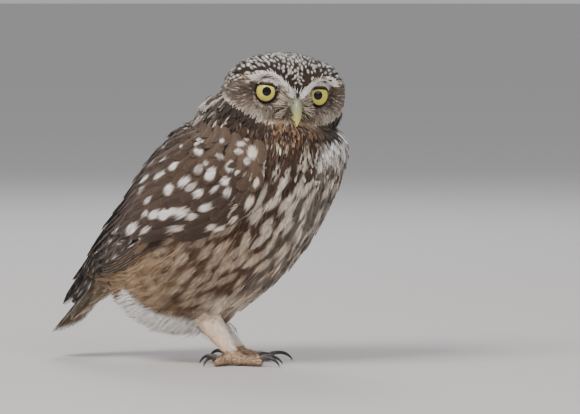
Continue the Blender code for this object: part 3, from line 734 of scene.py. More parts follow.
def lay_on(ground, root, flow, length, lift, sink=0.4):
    """Centre lines, sides and rises for feathers that lie on a surface, from roots on it, along a flow."""
    root, normal = ground.nearest(root)
    flow = unit(flow - (flow * normal).sum(axis=-1, keepdims=True) * normal)
    tip, tip_normal = ground.nearest(root + flow * length[:, None])
    middle, middle_normal = ground.nearest((root + tip) / 2 + normal * 0.5)
    tip = tip + tip_normal * lift[:, None]
    middle = middle + middle_normal * (lift * 0.62)[:, None]
    centre = bezier_lines(root - normal * sink, middle, tip)
    t = np.linspace(0, 1, centre.shape[1])[None, :, None]
    rise = unit(normal[:, None] * (1 - t) + tip_normal[:, None] * t)
    along = unit(np.gradient(centre, axis=1))
    side = unit(np.cross(along, rise))
    return centre, side, np.cross(side, along)


def rolled(lie, angle):
    """The lie of feathers, turned about their shafts by an angle for each."""
    centre, side, rise = lie
    c, s = np.cos(angle)[:, None, None], np.sin(angle)[:, None, None]
    return centre, side * c + rise * s, rise * c - side * s


def mix(a, b, part):
    part = np.asarray(part)[..., None]
    return np.asarray(a) * (1 - part) + np.asarray(b) * part


def spot_mask(u, v, at_u, at_v, half_wide, half_long, soft):
    """1 inside an oval on a feather, falling to 0 over its soft edge."""
    away = np.sqrt(((u - at_u) / half_wide) ** 2 + ((v - at_v) / half_long) ** 2)
    return fall(1 - soft, 1 + soft, away)


def barb_templates(count, *args, **kinds):
    return [barb_template(rng, *args, **kinds) for _ in range(count)]


rng = np.random.default_rng(7)
FINE = (0.0, 0.25, 0.5, 0.75, 0.9)
SOFT = barb_templates(6, 16, 0.24, low=0.4, fray=0.16, angles=(44, 14))
ROUND = barb_templates(6, 24, 0.33, peak=0.66, tip_power=2.6, fray=0.05, angles=(54, 20), levels=FINE)
SMALL = barb_templates(6, 6, 0.28, fray=0.16)
LONG = barb_templates(3, 60, 0.10, peak=0.72, tip_power=2.4, low=0.5, fray=0.03, angles=(34, 20))
COVERT = barb_templates(5, 36, 0.22, peak=0.68, tip_power=2.6, low=0.45, fray=0.04, angles=(44, 20), levels=FINE)


def wisp_template(bend, segments=3):
    """A narrow blade that tapers to a point."""
    y = np.linspace(0, 1, segments + 1)
    wide = 1 - 0.45 * y
    wide[0] = 0.6
    x_ = [bend * y[k] ** 2 + side * wide[k] * 0.1 for k in range(segments) for side in (-1, 1)] + [bend]
    faces = []
    for a in range(0, 2 * segments - 2, 2):
        faces += [(a, a + 1, a + 3), (a, a + 3, a + 2)]
    faces.append((2 * segments - 2, 2 * segments - 1, 2 * segments))
    return np.array(x_), np.append(np.repeat(y[:-1], 2), 1.0), np.zeros(len(x_)), np.array(faces), np.ones(len(x_))


WISPS = [wisp_template(bend) for bend in (-0.05, -0.02, 0.0, 0.03, 0.06)]


def lay_random(coat, templates, rng, lie, half_width, colour, bake, size=None, patch=PATCH, chosen=None):
    """Lays feathers, or the chosen ones, with a template drawn for each. colour takes (u, v, picks, points)."""
    chosen = np.arange(len(half_width)) if chosen is None else chosen
    draw = rng.integers(0, len(templates), len(chosen))
    for k, template in enumerate(templates):
        picks = chosen[draw == k]
        if len(picks):
            coat.lay(template, picks, lie, half_width, colour, bake, size, patch)


def toned(tone, low=0.85, gain=0.2):
    """The colours of feathers of one tone each, a little darker at the root."""

    def colour(u, v, picks, points):
        return tone[picks][:, None] * (low + gain * v)[..., None]

    return colour


def trunk_roots(rng, first, last, row_gap, column_gap, jitter):
    """Staggered roots over the trunk: their shares and angles."""
    shares, angles = [], []
    fine = np.linspace(first, last, 400)
    path = np.linalg.norm(np.diff(trunk_point(fine, np.full(400, 2.0)), axis=0), axis=1)
    far = np.concatenate([[0], np.cumsum(path)])
    rows = np.interp(np.arange(0, far[-1], row_gap), far, fine)
    around = np.linspace(-math.pi, math.pi, 361)
    for number, share in enumerate(rows):
        ring = trunk_point(np.full(361, share), around)
        arc = np.concatenate([[0], np.cumsum(np.linalg.norm(np.diff(ring, axis=0), axis=1))])
        count = max(8, int(round(arc[-1] / column_gap)))
        spots = (np.arange(count) + 0.5 * (number % 2)) / count
        spots = spots + rng.uniform(-jitter, jitter, count) / count
        angles.append(np.interp((spots % 1) * arc[-1], arc, around))
        step = (rows[1] - rows[0]) * jitter
        shares.append(share + rng.uniform(-step, step, count))
    return np.concatenate(shares), np.concatenate(angles)


def trunk_flow(share, around):
    return unit(trunk_point(share - 0.01, around) - trunk_point(share + 0.01, around))


def body_bake(share, around):
    return np.stack([0.02 + 0.58 * (around / (2 * math.pi) + 0.5), 0.02 + 0.9 * share], axis=-1)


def head_bake(direction):
    azimuth = np.arctan2(direction[:, 1], direction[:, 0]) / (2 * math.pi) + 0.5
    height = np.arccos(np.clip(direction[:, 2], -1, 1)) / math.pi
    return np.stack([0.63 + 0.34 * azimuth, 0.45 + 0.5 * height], axis=-1)


# The wings. Each spot has its share of the trunk, its place across the wing, its half length and half width in
# millimetres, and its strength.
WING_SPOTS = (
    (0.545, 0.38, 4.2, 2.1, 1), (0.597, 0.47, 4.1, 2.0, 0.9), (0.525, 0.48, 3.2, 1.8, 0.5),
    (0.537, 0.62, 2.9, 1.4, 0.8), (0.653, 0.47, 3.2, 2.8, 1), (0.629, 0.35, 2.4, 0.8, 0.8),
    (0.575, 0.27, 2.4, 0.8, 0.7), (0.651, 0.63, 3.9, 2.4, 0.95), (0.603, 0.63, 3.4, 3.5, 0.9),
    (0.657, 0.69, 3.9, 2.1, 0.6), (0.661, 0.75, 2.8, 2.5, 1), (0.707, 0.63, 3.2, 2.8, 0.45),
    (0.719, 0.71, 3.9, 3.1, 1), (0.749, 0.53, 2.4, 3.1, 0.9), (0.78, 0.48, 1.3, 2.8, 0.8),
    (0.713, 0.38, 1.0, 1.7, 0.7), (0.832, 0.68, 1.3, 1.8, 0.8), (0.778, 0.7, 1.3, 2.8, 0.5),
    (0.733, 0.64, 1.3, 1.8, 0.6), (0.697, 0.79, 2.9, 1.5, 0.7), (0.729, 0.8, 2.4, 2.8, 0.95),
    (0.711, 0.85, 2.7, 2.2, 0.7), (0.77, 0.79, 3.1, 2.5, 1), (0.517, 0.72, 2.2, 1.8, 0.9),
    (0.539, 0.77, 3.8, 2.5, 1), (0.561, 0.8, 3.8, 3.1, 1), (0.583, 0.8, 3.2, 2.4, 0.95),
    (0.599, 0.83, 3.6, 2.9, 1), (0.613, 0.87, 3.2, 2.1, 0.7), (0.649, 0.84, 3.8, 2.2, 0.95),
    (0.461, 0.76, 4.5, 3.1, 1), (0.499, 0.86, 3.1, 1.7, 0.9), (0.395, 0.62, 3.1, 1.4, 0.8),
    (0.567, 0.92, 4.2, 2.0, 0.6), (0.631, 0.97, 2.8, 1.8, 0.7), (0.637, 1.01, 3.5, 1.7, 0.95),
    (0.852, 0.85, 1.3, 2.8, 0.9), (0.824, 0.83, 1.4, 2.8, 0.9), (0.84, 0.93, 3.9, 2.8, 1),
    (0.808, 0.89, 2.1, 2.1, 0.7), (0.878, 0.91, 0.7, 1.8, 0.9), (0.721, 1.0, 3.8, 2.1, 0.95),
    (0.673, 1.0, 2.8, 1.8, 0.95), (0.768, 0.98, 2.8, 1.8, 0.9), (0.8, 1.04, 3.5, 1.5, 0.8),
    (0.369, 0.68, 1.5, 1.1, 0.75), (0.389, 0.74, 1.4, 1.2, 0.8), (0.409, 0.78, 1.6, 1.1, 0.7),
    (0.437, 0.87, 2.1, 1.6, 0.8), (0.371, 0.87, 2.2, 1.4, 0.75), (0.273, 0.93, 1.5, 1.1, 0.6),
    (0.275, 0.67, 1.8, 1.2, 0.8), (0.174, 0.56, 1.4, 1.0, 0.7), (0.313, 0.69, 1.3, 0.9, 0.5),
    (0.471, 0.90, 2.0, 1.0, 0.5), (0.341, 0.40, 2.2, 1.2, 0.6), (0.22, 0.42, 1.8, 1.0, 0.5),
    (0.76, 0.20, 1.6, 1.1, 0.6), (0.71, 0.09, 2.0, 1.2, 0.6), (0.65, 0.19, 2.3, 1.3, 0.7),
    (0.60, 0.07, 2.2, 1.3, 0.6), (0.54, 0.17, 2.5, 1.4, 0.7), (0.47, 0.07, 2.3, 1.3, 0.6),
    (0.42, 0.19, 2.5, 1.5, 0.65), (0.36, 0.09, 2.3, 1.4, 0.55), (0.30, 0.21, 2.1, 1.3, 0.5),
)
# The flight feathers: each one's root and tip, as shares of the trunk and places across the wing, half of its
# width, its height over the wing at the root and at the tip, and how dark it is.
FLIGHT = (
    (0.34, 0.10, 0.045, 0.05, 4.2, 0.9, 1.4, 0.8), (0.34, 0.26, 0.035, 0.22, 4.2, 0.8, 1.3, 0.8),
    (0.34, 0.42, 0.03, 0.40, 4.2, 0.7, 1.2, 0.8), (0.35, 0.58, 0.022, 0.58, 4.0, 0.6, 1.1, 0.9),
    (0.36, 0.72, 0.012, 0.76, 3.8, 0.5, 1.0, 1.0), (0.37, 0.84, 0.004, 0.92, 3.4, 0.4, 0.8, 1.0),
    (0.38, 0.90, 0.001, 0.98, 3.0, 0.3, 0.6, 1.0), (0.42, 0.94, 0.06, 0.97, 2.4, 0.2, 0.5, 1.0),
    (0.54, 1.00, 0.21, 0.955, 1.5, 0.5, 0.9, 0.9), (0.545, 0.985, 0.245, 0.93, 1.6, 0.9, 1.3, 0.9),
    (0.55, 0.97, 0.28, 0.91, 1.6, 1.3, 1.7, 0.85), (0.555, 0.95, 0.31, 0.895, 1.7, 1.7, 2.1, 0.8),
    (0.56, 0.93, 0.34, 0.88, 1.8, 2.1, 2.5, 0.75),
    (0.44, 0.86, 0.185, 0.88, 4.4, 1.5, 2.2, 0.45), (0.43, 0.74, 0.145, 0.74, 4.6, 1.6, 2.4, 0.5),
    (0.42, 0.62, 0.115, 0.60, 4.8, 1.7, 2.5, 0.5), (0.40, 0.48, 0.095, 0.45, 4.8, 1.8, 2.6, 0.5),
    (0.38, 0.34, 0.085, 0.30, 4.8, 1.9, 2.7, 0.5), (0.36, 0.18, 0.08, 0.13, 4.8, 2.0, 2.8, 0.5),
    (0.50, 0.80, 0.285, 0.80, 4.4, 2.2, 3.0, 0.35), (0.48, 0.68, 0.245, 0.66, 4.6, 2.3, 3.1, 0.35),
    (0.46, 0.54, 0.215, 0.52, 4.8, 2.4, 3.2, 0.35), (0.44, 0.40, 0.195, 0.37, 4.8, 2.5, 3.3, 0.35),
    (0.42, 0.25, 0.18, 0.22, 4.8, 2.5, 3.3, 0.35), (0.40, 0.10, 0.175, 0.07, 4.8, 2.5, 3.3, 0.35),
)
# Tiers of the wing's other vanes: the upper end's tip share, how much further forward the lower end's is, the
# length as a share, the count, the ends' places across, and half of the width.
COVERT_TIERS = (
    (0.28, 0.21, 0.17, 11, 0.05, 0.96, 4.3),
    (0.35, 0.20, 0.14, 10, 0.05, 0.96, 4.2),
    (0.41, 0.18, 0.12, 10, 0.04, 0.96, 4.2),
    (0.47, 0.155, 0.11, 10, 0.05, 0.97, 4.1),
    (0.53, 0.125, 0.105, 10, 0.04, 0.97, 4.0),
    (0.59, 0.09, 0.10, 10, 0.05, 0.98, 3.9),
    (0.65, 0.06, 0.095, 10, 0.04, 0.98, 3.8),
    (0.70, 0.04, 0.09, 10, 0.05, 0.98, 3.6),
    (0.75, 0.03, 0.085, 10, 0.02, 1.0, 3.5),
    (0.795, 0.02, 0.08, 10, 0.0, 1.0, 3.4),
)


def wing_lie(hand, share, around, middle, normal, roll):
    """The lie of vanes with these centre lines, their sides towards the wing's lower edge."""
    side = unit(np.cross(unit(np.gradient(middle, axis=1)), normal))
    down = trunk_point(share, around + hand * 0.05) - trunk_point(share, around)
    return rolled((middle, side * np.sign((down * side).sum(axis=-1))[..., None], normal), roll)


def wing_places(rng, hand, samples=12, jitter=0.3):
    """The lie of the vanes of the tiers, with their tips' shares, lengths, places across and half widths."""
    rows = []
    for number, (tip, forward, length, count, first, last, half_width) in enumerate(COVERT_TIERS):
        part = (np.arange(count) + 0.5 * (number % 2)) / (count - 0.5)
        part = np.clip(part + rng.uniform(-jitter, jitter, count) / count, 0, 1)
        start = tip + forward * part**1.4 + rng.uniform(-jitter, jitter, count) * 0.02
        long = length * (1 + rng.uniform(-jitter, jitter, count) * 0.3)
        wide = half_width * (1 + rng.uniform(-jitter, jitter, count) * 0.3)
        rows.append([start, long, first + (last - first) * part, wide, np.full(count, (last - first) / (count - 1))])
    tip, length, across, half_width, gap = np.concatenate(rows, axis=1)
    part = np.linspace(0, 1, samples)[None]
    share = tip[:, None] + length[:, None] * (1 - part)
    around = wing_angle(hand, share, across[:, None])
    normal = trunk_normal(share, around)
    edge = np.clip(np.minimum(across, 1 - across) * 6, 0.0, 1)[:, None]
    root = 1.0 + (WING_DEPTH - 1.0) * np.sqrt(edge) - VANE_SINK
    high = root + (WING_DEPTH + VANE_LIFT - root) * part**0.8
    fade = fall(0.70, 0.86, share)
    high = high * (0.35 + 0.65 * fade) - 0.6 * (1 - fade)
    middle = trunk_point(share, around) + normal * high[..., None]
    middle_share = tip + length / 2
    here = trunk_point(middle_share, wing_angle(hand, middle_share, across))
    there = trunk_point(middle_share, wing_angle(hand, middle_share, across + gap))
    roll = np.arctan(0.7 / np.linalg.norm(there - here, axis=1))
    return wing_lie(hand, share, around, middle, normal, roll), tip, length, across, half_width


def vane_cells(count, corner, size, columns):
    """The middles of a count of cells on the bake map, and a cell's own size."""
    rows = math.ceil(count / columns)
    cell = np.array([size[0] / columns, size[1] / rows])
    number = np.arange(count)
    middle = np.stack([number % columns + 0.5, number // columns + 0.5], axis=-1) * cell + corner
    return middle, cell * 0.9


def spot_places(hand):
    """The wing's spots: their middles, their directions along and across the wing, their sizes and strengths."""
    rows = np.array(WING_SPOTS)
    share, across = rows[:, 0], rows[:, 1]
    around = wing_angle(hand, share, across)
    normal = trunk_normal(share, around)
    behind, ahead = (trunk_point(near, wing_angle(hand, near, across)) for near in (share - 0.01, share + 0.01))
    along = unit(behind - ahead)
    return trunk_point(share, around) + normal * SPOT_RISE, along, unit(np.cross(along, normal)), rows[:, 2:]


def painted(points, u, spots):
    """How far each point of some feathers is inside the wing's spots, and on their rusty upper rims."""
    inside, rim = np.zeros(points.shape[:-1]), np.zeros(points.shape[:-1])
    cleft = 1 - 0.3 * fall(0.0, 0.06, np.abs(u))
    for middle, along, side, (half_long, half_wide, strength) in zip(*spots, strict=True):
        off = points - middle
        a, b = off @ along / half_long, off @ side / half_wide
        b = b / (1 - 0.3 * np.clip(-a, 0, 1))
        away = np.sqrt(a * a + b * b) + FAR * (np.abs(off).max(axis=-1) > SPOT_REACH)
        inside = np.maximum(inside, fall(0.75, 1.15, away) * strength * cleft)
        rim = np.maximum(rim, fall(1.05, 1.5, away) * (a < 0.1) * strength)
    return inside, rim


def flight_places(hand):
    """The lie of the flight feathers, with half of their widths and how dark they are."""
    rows = np.array(FLIGHT)
    part = np.linspace(0, 1, 24)[None]
    root_share, root_across, tip_share, tip_across, half_width, root_high, tip_high, dark = rows.T[:, :, None]
    share = root_share + (tip_share - root_share) * part
    across = root_across + (tip_across - root_across) * part
    around = wing_angle(hand, share, across)
    normal = trunk_normal(share, around)
    middle = trunk_point(share, around) + normal * (root_high + (tip_high - root_high) * part)[..., None]
    reach = unit(middle[:, -1] - middle[:, -5])[:, None] * fall(0.05, 0.12, tip_share)[..., None]
    middle = middle + reach * (WING_TIP_REACH * part**2)[..., None]
    return wing_lie(hand, share, around, middle, normal, np.full(len(rows), 0.12)), half_width[:, 0], dark[:, 0]


def flight_colour(rng, dark, half_width, spots):
    count = len(dark)
    narrow = (half_width < 2).astype(float)
    shade = rng.uniform(0.94, 1.06, count)[:, None, None]
    offset = rng.uniform(-0.03, 0.03, count)[:, None]

    def colour(u, v, picks, points):
        dusk = np.clip(0.75 * dark[picks][:, None] + 0.1 * np.abs(u), 0, 1)
        ground = mix(WING_BROWN, WING_DARK, dusk + 0 * v) * shade[picks]
        wave = np.cos((v + offset[picks]) * 2 * math.pi * FLIGHT_NOTCHES)
        notch = smooth_step(0.25, 0.7, wave) * smooth_step(0.45, 0.7, u) * smooth_step(0.12, 0.3, v)
        ground = mix(ground, mix(BELLY_BUFF, WING_SPOT, 0.6), notch * 0.85)
        stripe = smooth_step(0.62, 0.82, u) * narrow[picks][:, None] * smooth_step(0.2, 0.4, v) * 0.75
        edge = smooth_step(0.93, 1.0, v) * 0.55 + smooth_step(0.88, 1.0, u) * 0.6 + stripe
        ground = mix(ground, mix(BELLY_BUFF, RUFF_RUST, 0.25), np.clip(edge, 0, 0.8))
        shaft = fall(0.0, 0.07, np.abs(u)) * 0.5
        ground = mix(ground, WING_DARK * 0.8, shaft + 0 * v)
        inside, _ = painted(points, u, spots)
        return mix(ground, mix(WING_SPOT, BELLY_BUFF, 0.35), inside * 0.9)

    return colour


def covert_colour(rng, tip, across, spots):
    count = len(tip)
    shade = rng.uniform(0.93, 1.08, count)[:, None, None]
    low = smooth_step(0.45, 0.95, across) * fall(0.66, 0.80, tip) + 0.5 * fall(0.2, 0.45, tip)
    grey = smooth_step(0.66, 0.82, tip)

    def colour(u, v, picks, points):
        part = np.clip(0.12 + 0.62 * low[picks][:, None] + 0.25 * (0.5 - v) + 0.06 * np.abs(u), 0, 1)
        ground = mix(WING_BROWN, WING_DARK, part) * shade[picks]
        ground = mix(ground, SHOULDER_GREY, (0.55 * grey)[picks][:, None] + 0 * u)
        edge = smooth_step(0.9, 1.0, v) * 0.12
        ground = mix(ground, BELLY_BUFF, edge + 0 * u)
        inside, rim = painted(points, u, spots)
        ground = mix(ground, RUFF_RUST, rim * 0.45)
        warm = smooth_step(0.8, 0.96, across)[picks][:, None] * 0.4 + 0 * v
        return mix(ground, mix(WING_SPOT, SPOT_WARM, warm), inside)

    return colour


def off_middle(lie, hand, least):
    """The lie of a wing's feathers, kept from crossing the middle of the back, and their lengths."""
    lie[0][..., 1] = hand * np.maximum(hand * lie[0][..., 1], least)
    return lie, np.linalg.norm(lie[0][:, 0] - lie[0][:, -1], axis=1)


def make_wing(side, hand):
    rng = np.random.default_rng(21 if hand < 0 else 22)
    coat = Coat("wing_feathers_" + side, "wing_feathers")
    spots = spot_places(hand)
    lie, half_width, dark = flight_places(hand)
    lie, size = off_middle(lie, hand, 0.6)
    cells, cell = vane_cells(len(dark), (0.02 if hand < 0 else 0.52, 0.935), (0.46, 0.06), 25)
    colour = flight_colour(rng, dark, half_width, spots)
    lay_random(coat, LONG, rng, lie, half_width, colour, cells, size, cell)
    lie, tip, length, across, half_width = wing_places(rng, hand)
    lie, size = off_middle(lie, hand, 0.4)
    bake = body_bake(tip, wing_angle(hand, tip, across))
    long = tip + length < 0.56
    for templates, chosen in ((COVERT, long), (ROUND, ~long)):
        colour = covert_colour(rng, tip[chosen], across[chosen], spots)
        picked = [a[chosen] for a in lie]
        lay_random(coat, templates, rng, picked, half_width[chosen] * 1.3, colour, bake[chosen], size[chosen], 0.012)
    coat.make("wing_" + side)
    points, faces = BEDS[hand]
    colours = np.tile(WING_DARK * 1.1, (len(points), 1))
    bake = np.zeros((len(points), 2)) + [0.01, 0.01]
    bed = fast_mesh("wing_bed_" + side, mottled("wing_bed", 0.85, 500.0, 0.15), points, faces, colours, bake)
    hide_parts("wing_" + side)


def tail_lie(centre):
    """The lie of feathers along the tail, facing up."""
    wide = np.zeros_like(centre)
    wide[..., 1] = 1.0
    rise = unit(np.cross(unit(np.gradient(centre, axis=1)), wide))
    return centre, wide, rise * np.sign(rise[..., 2:])


def make_tail():
    rng = np.random.default_rng(31)
    coat = Coat("tail_feathers", "tail_feathers")
    pairs, hands = np.repeat(np.arange(TAIL_PAIRS), 2), np.tile([-1.0, 1.0], TAIL_PAIRS)
    count = len(pairs)
    part = np.linspace(0, 1, 20)[None]
    pair, hand = pairs[:, None], hands[:, None]
    layer = 1.0 - 0.24 * (pair + ((hand < 0) | (pair > 0)))
    start, end = 1.0 + pair * 1.6, 1.2 + pair * 2.2
    reach = (0.05 + 0.95 * part) * (TAIL_LENGTH * 1.02 - 0.22 * pair**2)
    lie = tail_lie(tail_point(reach, hand * (start + (end - start) * part), layer - 0.1 * pair * part))
    lie = rolled(lie, -hands * np.radians(2 + 3 * pairs))
    half_width = np.full(count, 4.7)
    shade = rng.uniform(0.92, 1.08, count)[:, None, None]
    outer, outward = pairs / (TAIL_PAIRS - 1.0), hands

    def upper_colour(u, v, picks, points):
        ground = mix(WING_BROWN, RUFF_RUST, 0.35 + 0 * u + 0 * v) * shade[picks]
        wave = np.cos(v * 2 * math.pi * TAIL_BARS + 0.3 * np.abs(u))
        bar = smooth_step(0.45, 0.8, wave) * smooth_step(0.1, 0.3, v) * smooth_step(0.15, 0.5, np.abs(u))
        pale = mix(ground, mix(WING_SPOT, RUFF_RUST, 0.35), bar * 0.75)
        web = u * outward[picks][:, None]
        edge = smooth_step(0.78, 0.95, web) * (0.5 + 0.45 * outer[picks][:, None]) + smooth_step(0.93, 0.99, v) * 0.7
        dark = smooth_step(0.55, 0.9, -web) * 0.5
        return mix(mix(pale, WING_DARK, dark), VENT_WHITE, np.clip(edge, 0, 0.85))

    def under_colour(u, v, picks, points):
        ground = mix(OLIVE, BELLY_BUFF, 0.25 + 0.2 * np.abs(u) + 0 * v) * shade[picks]
        wave = smooth_step(0.5, 0.9, np.cos(v * 2 * math.pi * TAIL_BARS)) * 0.25
        web = u * outward[picks][:, None]
        edge = smooth_step(0.8, 0.96, web) * (0.4 + 0.6 * outer[picks][:, None]) + smooth_step(0.9, 0.98, v) * 0.9
        return mix(mix(ground, DISC_PALE, wave), VENT_WHITE, np.clip(edge, 0, 0.95))

    cells, cell = vane_cells(count, (0.63, 0.02), (0.35, 0.2), 6)
    size = np.full(count, TAIL_LENGTH)
    lay_random(coat, LONG, rng, lie, half_width, upper_colour, cells, size, cell)
    under = (lie[0] - lie[2] * 0.22, *lie[1:])
    lay_random(coat, LONG, rng, under, half_width * 0.98, under_colour, cells, size, cell)
    make_tail_coverts(coat, rng)
    coat.make("tail")


def make_tail_coverts(coat, rng):
    """The small feathers over and under the roots of the tail's."""
    for under in (False, True):
        first, columns, gap = (4.0, 13, 1.3) if under else (-6.0, 9, 1.9)
        roots = []
        for row in range(9):
            for k in range(columns):
                back = first + 3.4 * row + rng.uniform(-1, 1)
                roots.append((back, (k - columns // 2 + 0.5 * (row % 2)) * gap + rng.uniform(-0.4, 0.4)))
        start, aside = np.array(roots).T
        count = len(start)
        part = np.linspace(0, 1, 6)[None]
        length = rng.uniform(15, 21, count)
        narrow = 1 - 0.035 * np.clip(start, 0, 40)
        along = start[:, None] + length[:, None] * part
        side = aside[:, None] * narrow[:, None] * (1 + 0.1 * part)
        roof = 0.03 * side**2
        if under:
            hang = np.interp(along, [0, 18, 27, 36, 48, 60], [-8.0, -10.0, -8.5, -5.0, -2.6, -1.4])
            depth = np.where(np.abs(aside) > 4.0, rng.uniform(0.15, 1.0, count), 1.0)[:, None]
            over = hang * depth + roof * 0.6 - 0.9 * part
        else:
            over = np.interp(along, [-10, 5, 25, 45], [1.0, 1.4, 1.0, 0.7]) - roof * 0.5 + 0.7 * part
        centre, wide, rise = tail_lie(tail_point(along, side, over))
        rise = rise * (-1 if under else 1)
        lie = rolled((centre, wide, rise), np.radians(8.0 * aside if under else -5.0 * aside))
        tone = np.tile(WING_BROWN, (count, 1))
        if under:
            tone = mix(UNDERTAIL, BELLY_BUFF, rng.uniform(0.0, 0.55, count))
        tone = tone * rng.uniform(0.85, 1.1, count)[:, None]

        def colour(u, v, picks, points, tone=tone, under=under):
            ground = tone[picks][:, None] * (0.85 + 0.2 * v)[..., None]
            spot = spot_mask(u, v, 0.0, 0.75, 0.45, 0.12, 0.3) * (0.0 if under else 0.7)
            return mix(ground, WING_SPOT, spot + 0 * u)

        bake = np.stack([0.65 + 0.012 * (aside + 12) * 0.6, (0.3 if under else 0.36) + 0.001 * start], axis=-1)
        lay_random(coat, SOFT, rng, lie, rng.uniform(3.0, 3.8, count), colour, bake, length)


def tail_bed():
    """The flesh that the tail's feathers are rooted in."""
    rings = []
    around = circle(24)
    for part in np.linspace(0, 0.5, 12):
        wide, high = 10.5 - 7.0 * part, 5.5 - 7.0 * part
        side = wide * np.sin(around)
        over = -4.0 + high * np.cos(around)
        rings.append(tail_point(np.full(24, part * TAIL_LENGTH - 3.0), side, over))
    return loft(rings)


GROUND = Ground(SKIN_POINTS, SKIN_FACES)
BEDS = {hand: wing_bed(hand) for hand in (-1, 1)}
TAIL_BED = tail_bed()
BODY_GROUND = Ground(*joined([(SKIN_POINTS, SKIN_FACES), BEDS[-1], BEDS[1], TAIL_BED]))


# The upper edge of the white vent, seen from the side: its places along the body and its heights.
VENT_ALONG = (-67, -64, -60.7, -55.1, -52.5, -45, -38.5, -27.4, -20, -13)
VENT_HEIGHT = (33, 38, 43, 38.7, 35.5, 30.6, 27.9, 26.0, 24.5, 10)


def vent_part(points):
    """How far each point is in the white vent."""
    return smooth_step(-1.5, 2.0, np.interp(points[..., 0], VENT_ALONG, VENT_HEIGHT) - points[..., 2])


def body_zone(share, around):
    """How far a place is the mantle, the nearly unmarked brown by the shoulder, the plain flank, the front, and low."""
    angle = np.degrees(np.abs(around))
    mantle = fall(40, 62, angle)
    mantle = np.maximum(mantle, smooth_step(0.80, 0.86, share) * fall(70, 100, angle))
    shoulder = smooth_step(0.74, 0.82, share) * fall(108, 126, angle)
    plain = fall(0.43, 0.58, share + 0.0012 * (angle - 120)) * (1 - mantle)
    return mantle, shoulder, plain, smooth_step(138, 162, angle), fall(0.62, 0.8, share)


class Blotches:
    """Pale leaf-shaped marks in staggered rows over the trunk."""

    def __init__(self, rng):
        share, around = trunk_roots(rng, 0.40, COAT_FRONT, 12.5, 6.8, 0.3)
        mantle, shoulder, plain, front, _ = body_zone(share, around)
        keep = (mantle < 0.5) & (rng.random(len(share)) > 0.04 + 0.45 * shoulder)
        share, around, shoulder, plain, front = (a[keep] for a in (share, around, shoulder, plain, front))
        count = len(share)
        normal = trunk_normal(share, around)
        self.middle = trunk_point(share, around) + normal * 1.5
        along = trunk_flow(share, around)
        side = np.cross(along, normal)
        lean = rng.normal(0, 0.16, count)[:, None]
        self.along = unit(along * np.cos(lean) + side * np.sin(lean))
        self.side = unit(np.cross(self.along, normal))
        small = 1 - 0.4 * shoulder - 0.3 * smooth_step(0.78, 0.9, share)
        self.half_long = rng.uniform(5.6, 9.0, count) * small
        self.half_wide = rng.uniform(1.8, 2.9, count) * small * (1 - 0.2 * front)
        faint = np.maximum(plain, 0.6 * fall(0.56, 0.70, share) * (1 - front))
        self.strength = rng.uniform(0.75, 1.0, count) * (1 - 0.66 * faint)
        self.soft = 0.18 + 0.34 * faint
        self.bend = rng.uniform(-0.3, 0.3, count) * np.clip(2 * small - 1, 0, 1)

    def mask(self, points, nearby=7):
        """How far each point of (N, V, 3) is inside a mark."""
        mean = points.mean(axis=1)
        away = np.linalg.norm(mean[:, None] - self.middle[None], axis=-1)
        near = np.argpartition(away, nearby, axis=1)[:, :nearby]
        result = np.zeros(points.shape[:2])
        for k in range(nearby):
            pick = near[:, k]
            off = points - self.middle[pick][:, None]
            a = (off * self.along[pick][:, None]).sum(-1) / self.half_long[pick][:, None]
            b = (off * self.side[pick][:, None]).sum(-1) / self.half_wide[pick][:, None]
            b = (b + self.bend[pick][:, None] * 2 * a * a) / np.clip(1 - 0.45 * a * a, 0.4, 1)
            soft = self.soft[pick][:, None]
            inside = fall(1 - soft, 1 + soft, np.sqrt(a * a + b * b))
            result = np.maximum(result, inside * self.strength[pick][:, None])
        return result


BLOTCHES = Blotches(np.random.default_rng(40))


def over_wing(share, angle, length):
    """Whether feathers of this length, from these places, would lie over the wing behind them."""
    over = np.zeros(len(share), bool)
    for part in (0.35, 0.7, 1.0):
        there = np.clip(share - part * length / TRUNK_LENGTH, 0.12, 1)
        over |= (angle < read_curve(WING_EDGE, there)[..., 0] - 2) & (angle > 40)
    return over & (share < 0.66)


def marked(points, zones, extra=0.0):
    """The body's colour at points: brown with the pale marks, the plain flank, and the white vent."""
    mantle, shoulder, plain, front, low = zones
    brown = mix(BREAST_BROWN, WING_BROWN, np.maximum(mantle, shoulder))
    brown = mix(brown, FLANK_BROWN, 0.7 * low * (1 - front))
    brown = mix(brown, BELLY_BUFF, 0.8 * plain * (1 - mantle))
    white = mix(mix(BREAST_WHITE, FLANK_WHITE, 0.8 * low), mix(BELLY_BUFF, DISC_PALE, 0.5), 0.6 * plain)
    inside = np.clip(BLOTCHES.mask(points) + extra, 0, 1) * (1 - mantle)
    ground = mix(brown, white, inside)
    ground = mix(ground, BREAST_WHITE, 0.16 * front * (1 - plain))
    under = smooth_step(-16, -6, points[..., 0]) * fall(34, 41, points[..., 2])
    ground = mix(ground, BREAST_WHITE, 0.8 * under)
    cloud = np.sin(points @ [0.9, 0.5, 0.7]) * np.sin(points @ [-0.4, 0.8, 0.9] + 1.0)
    ground = mix(ground, CLOUD_GREY, 0.4 * shoulder * smooth_step(0.0, 0.8, cloud))
    warm = 0.7 * low * (1 - mantle) * (1 - 0.7 * plain)
    ground = ground * (1 - warm[..., None] * [0.03, 0.12, 0.18])
    return mix(ground, VENT_WHITE, vent_part(points))


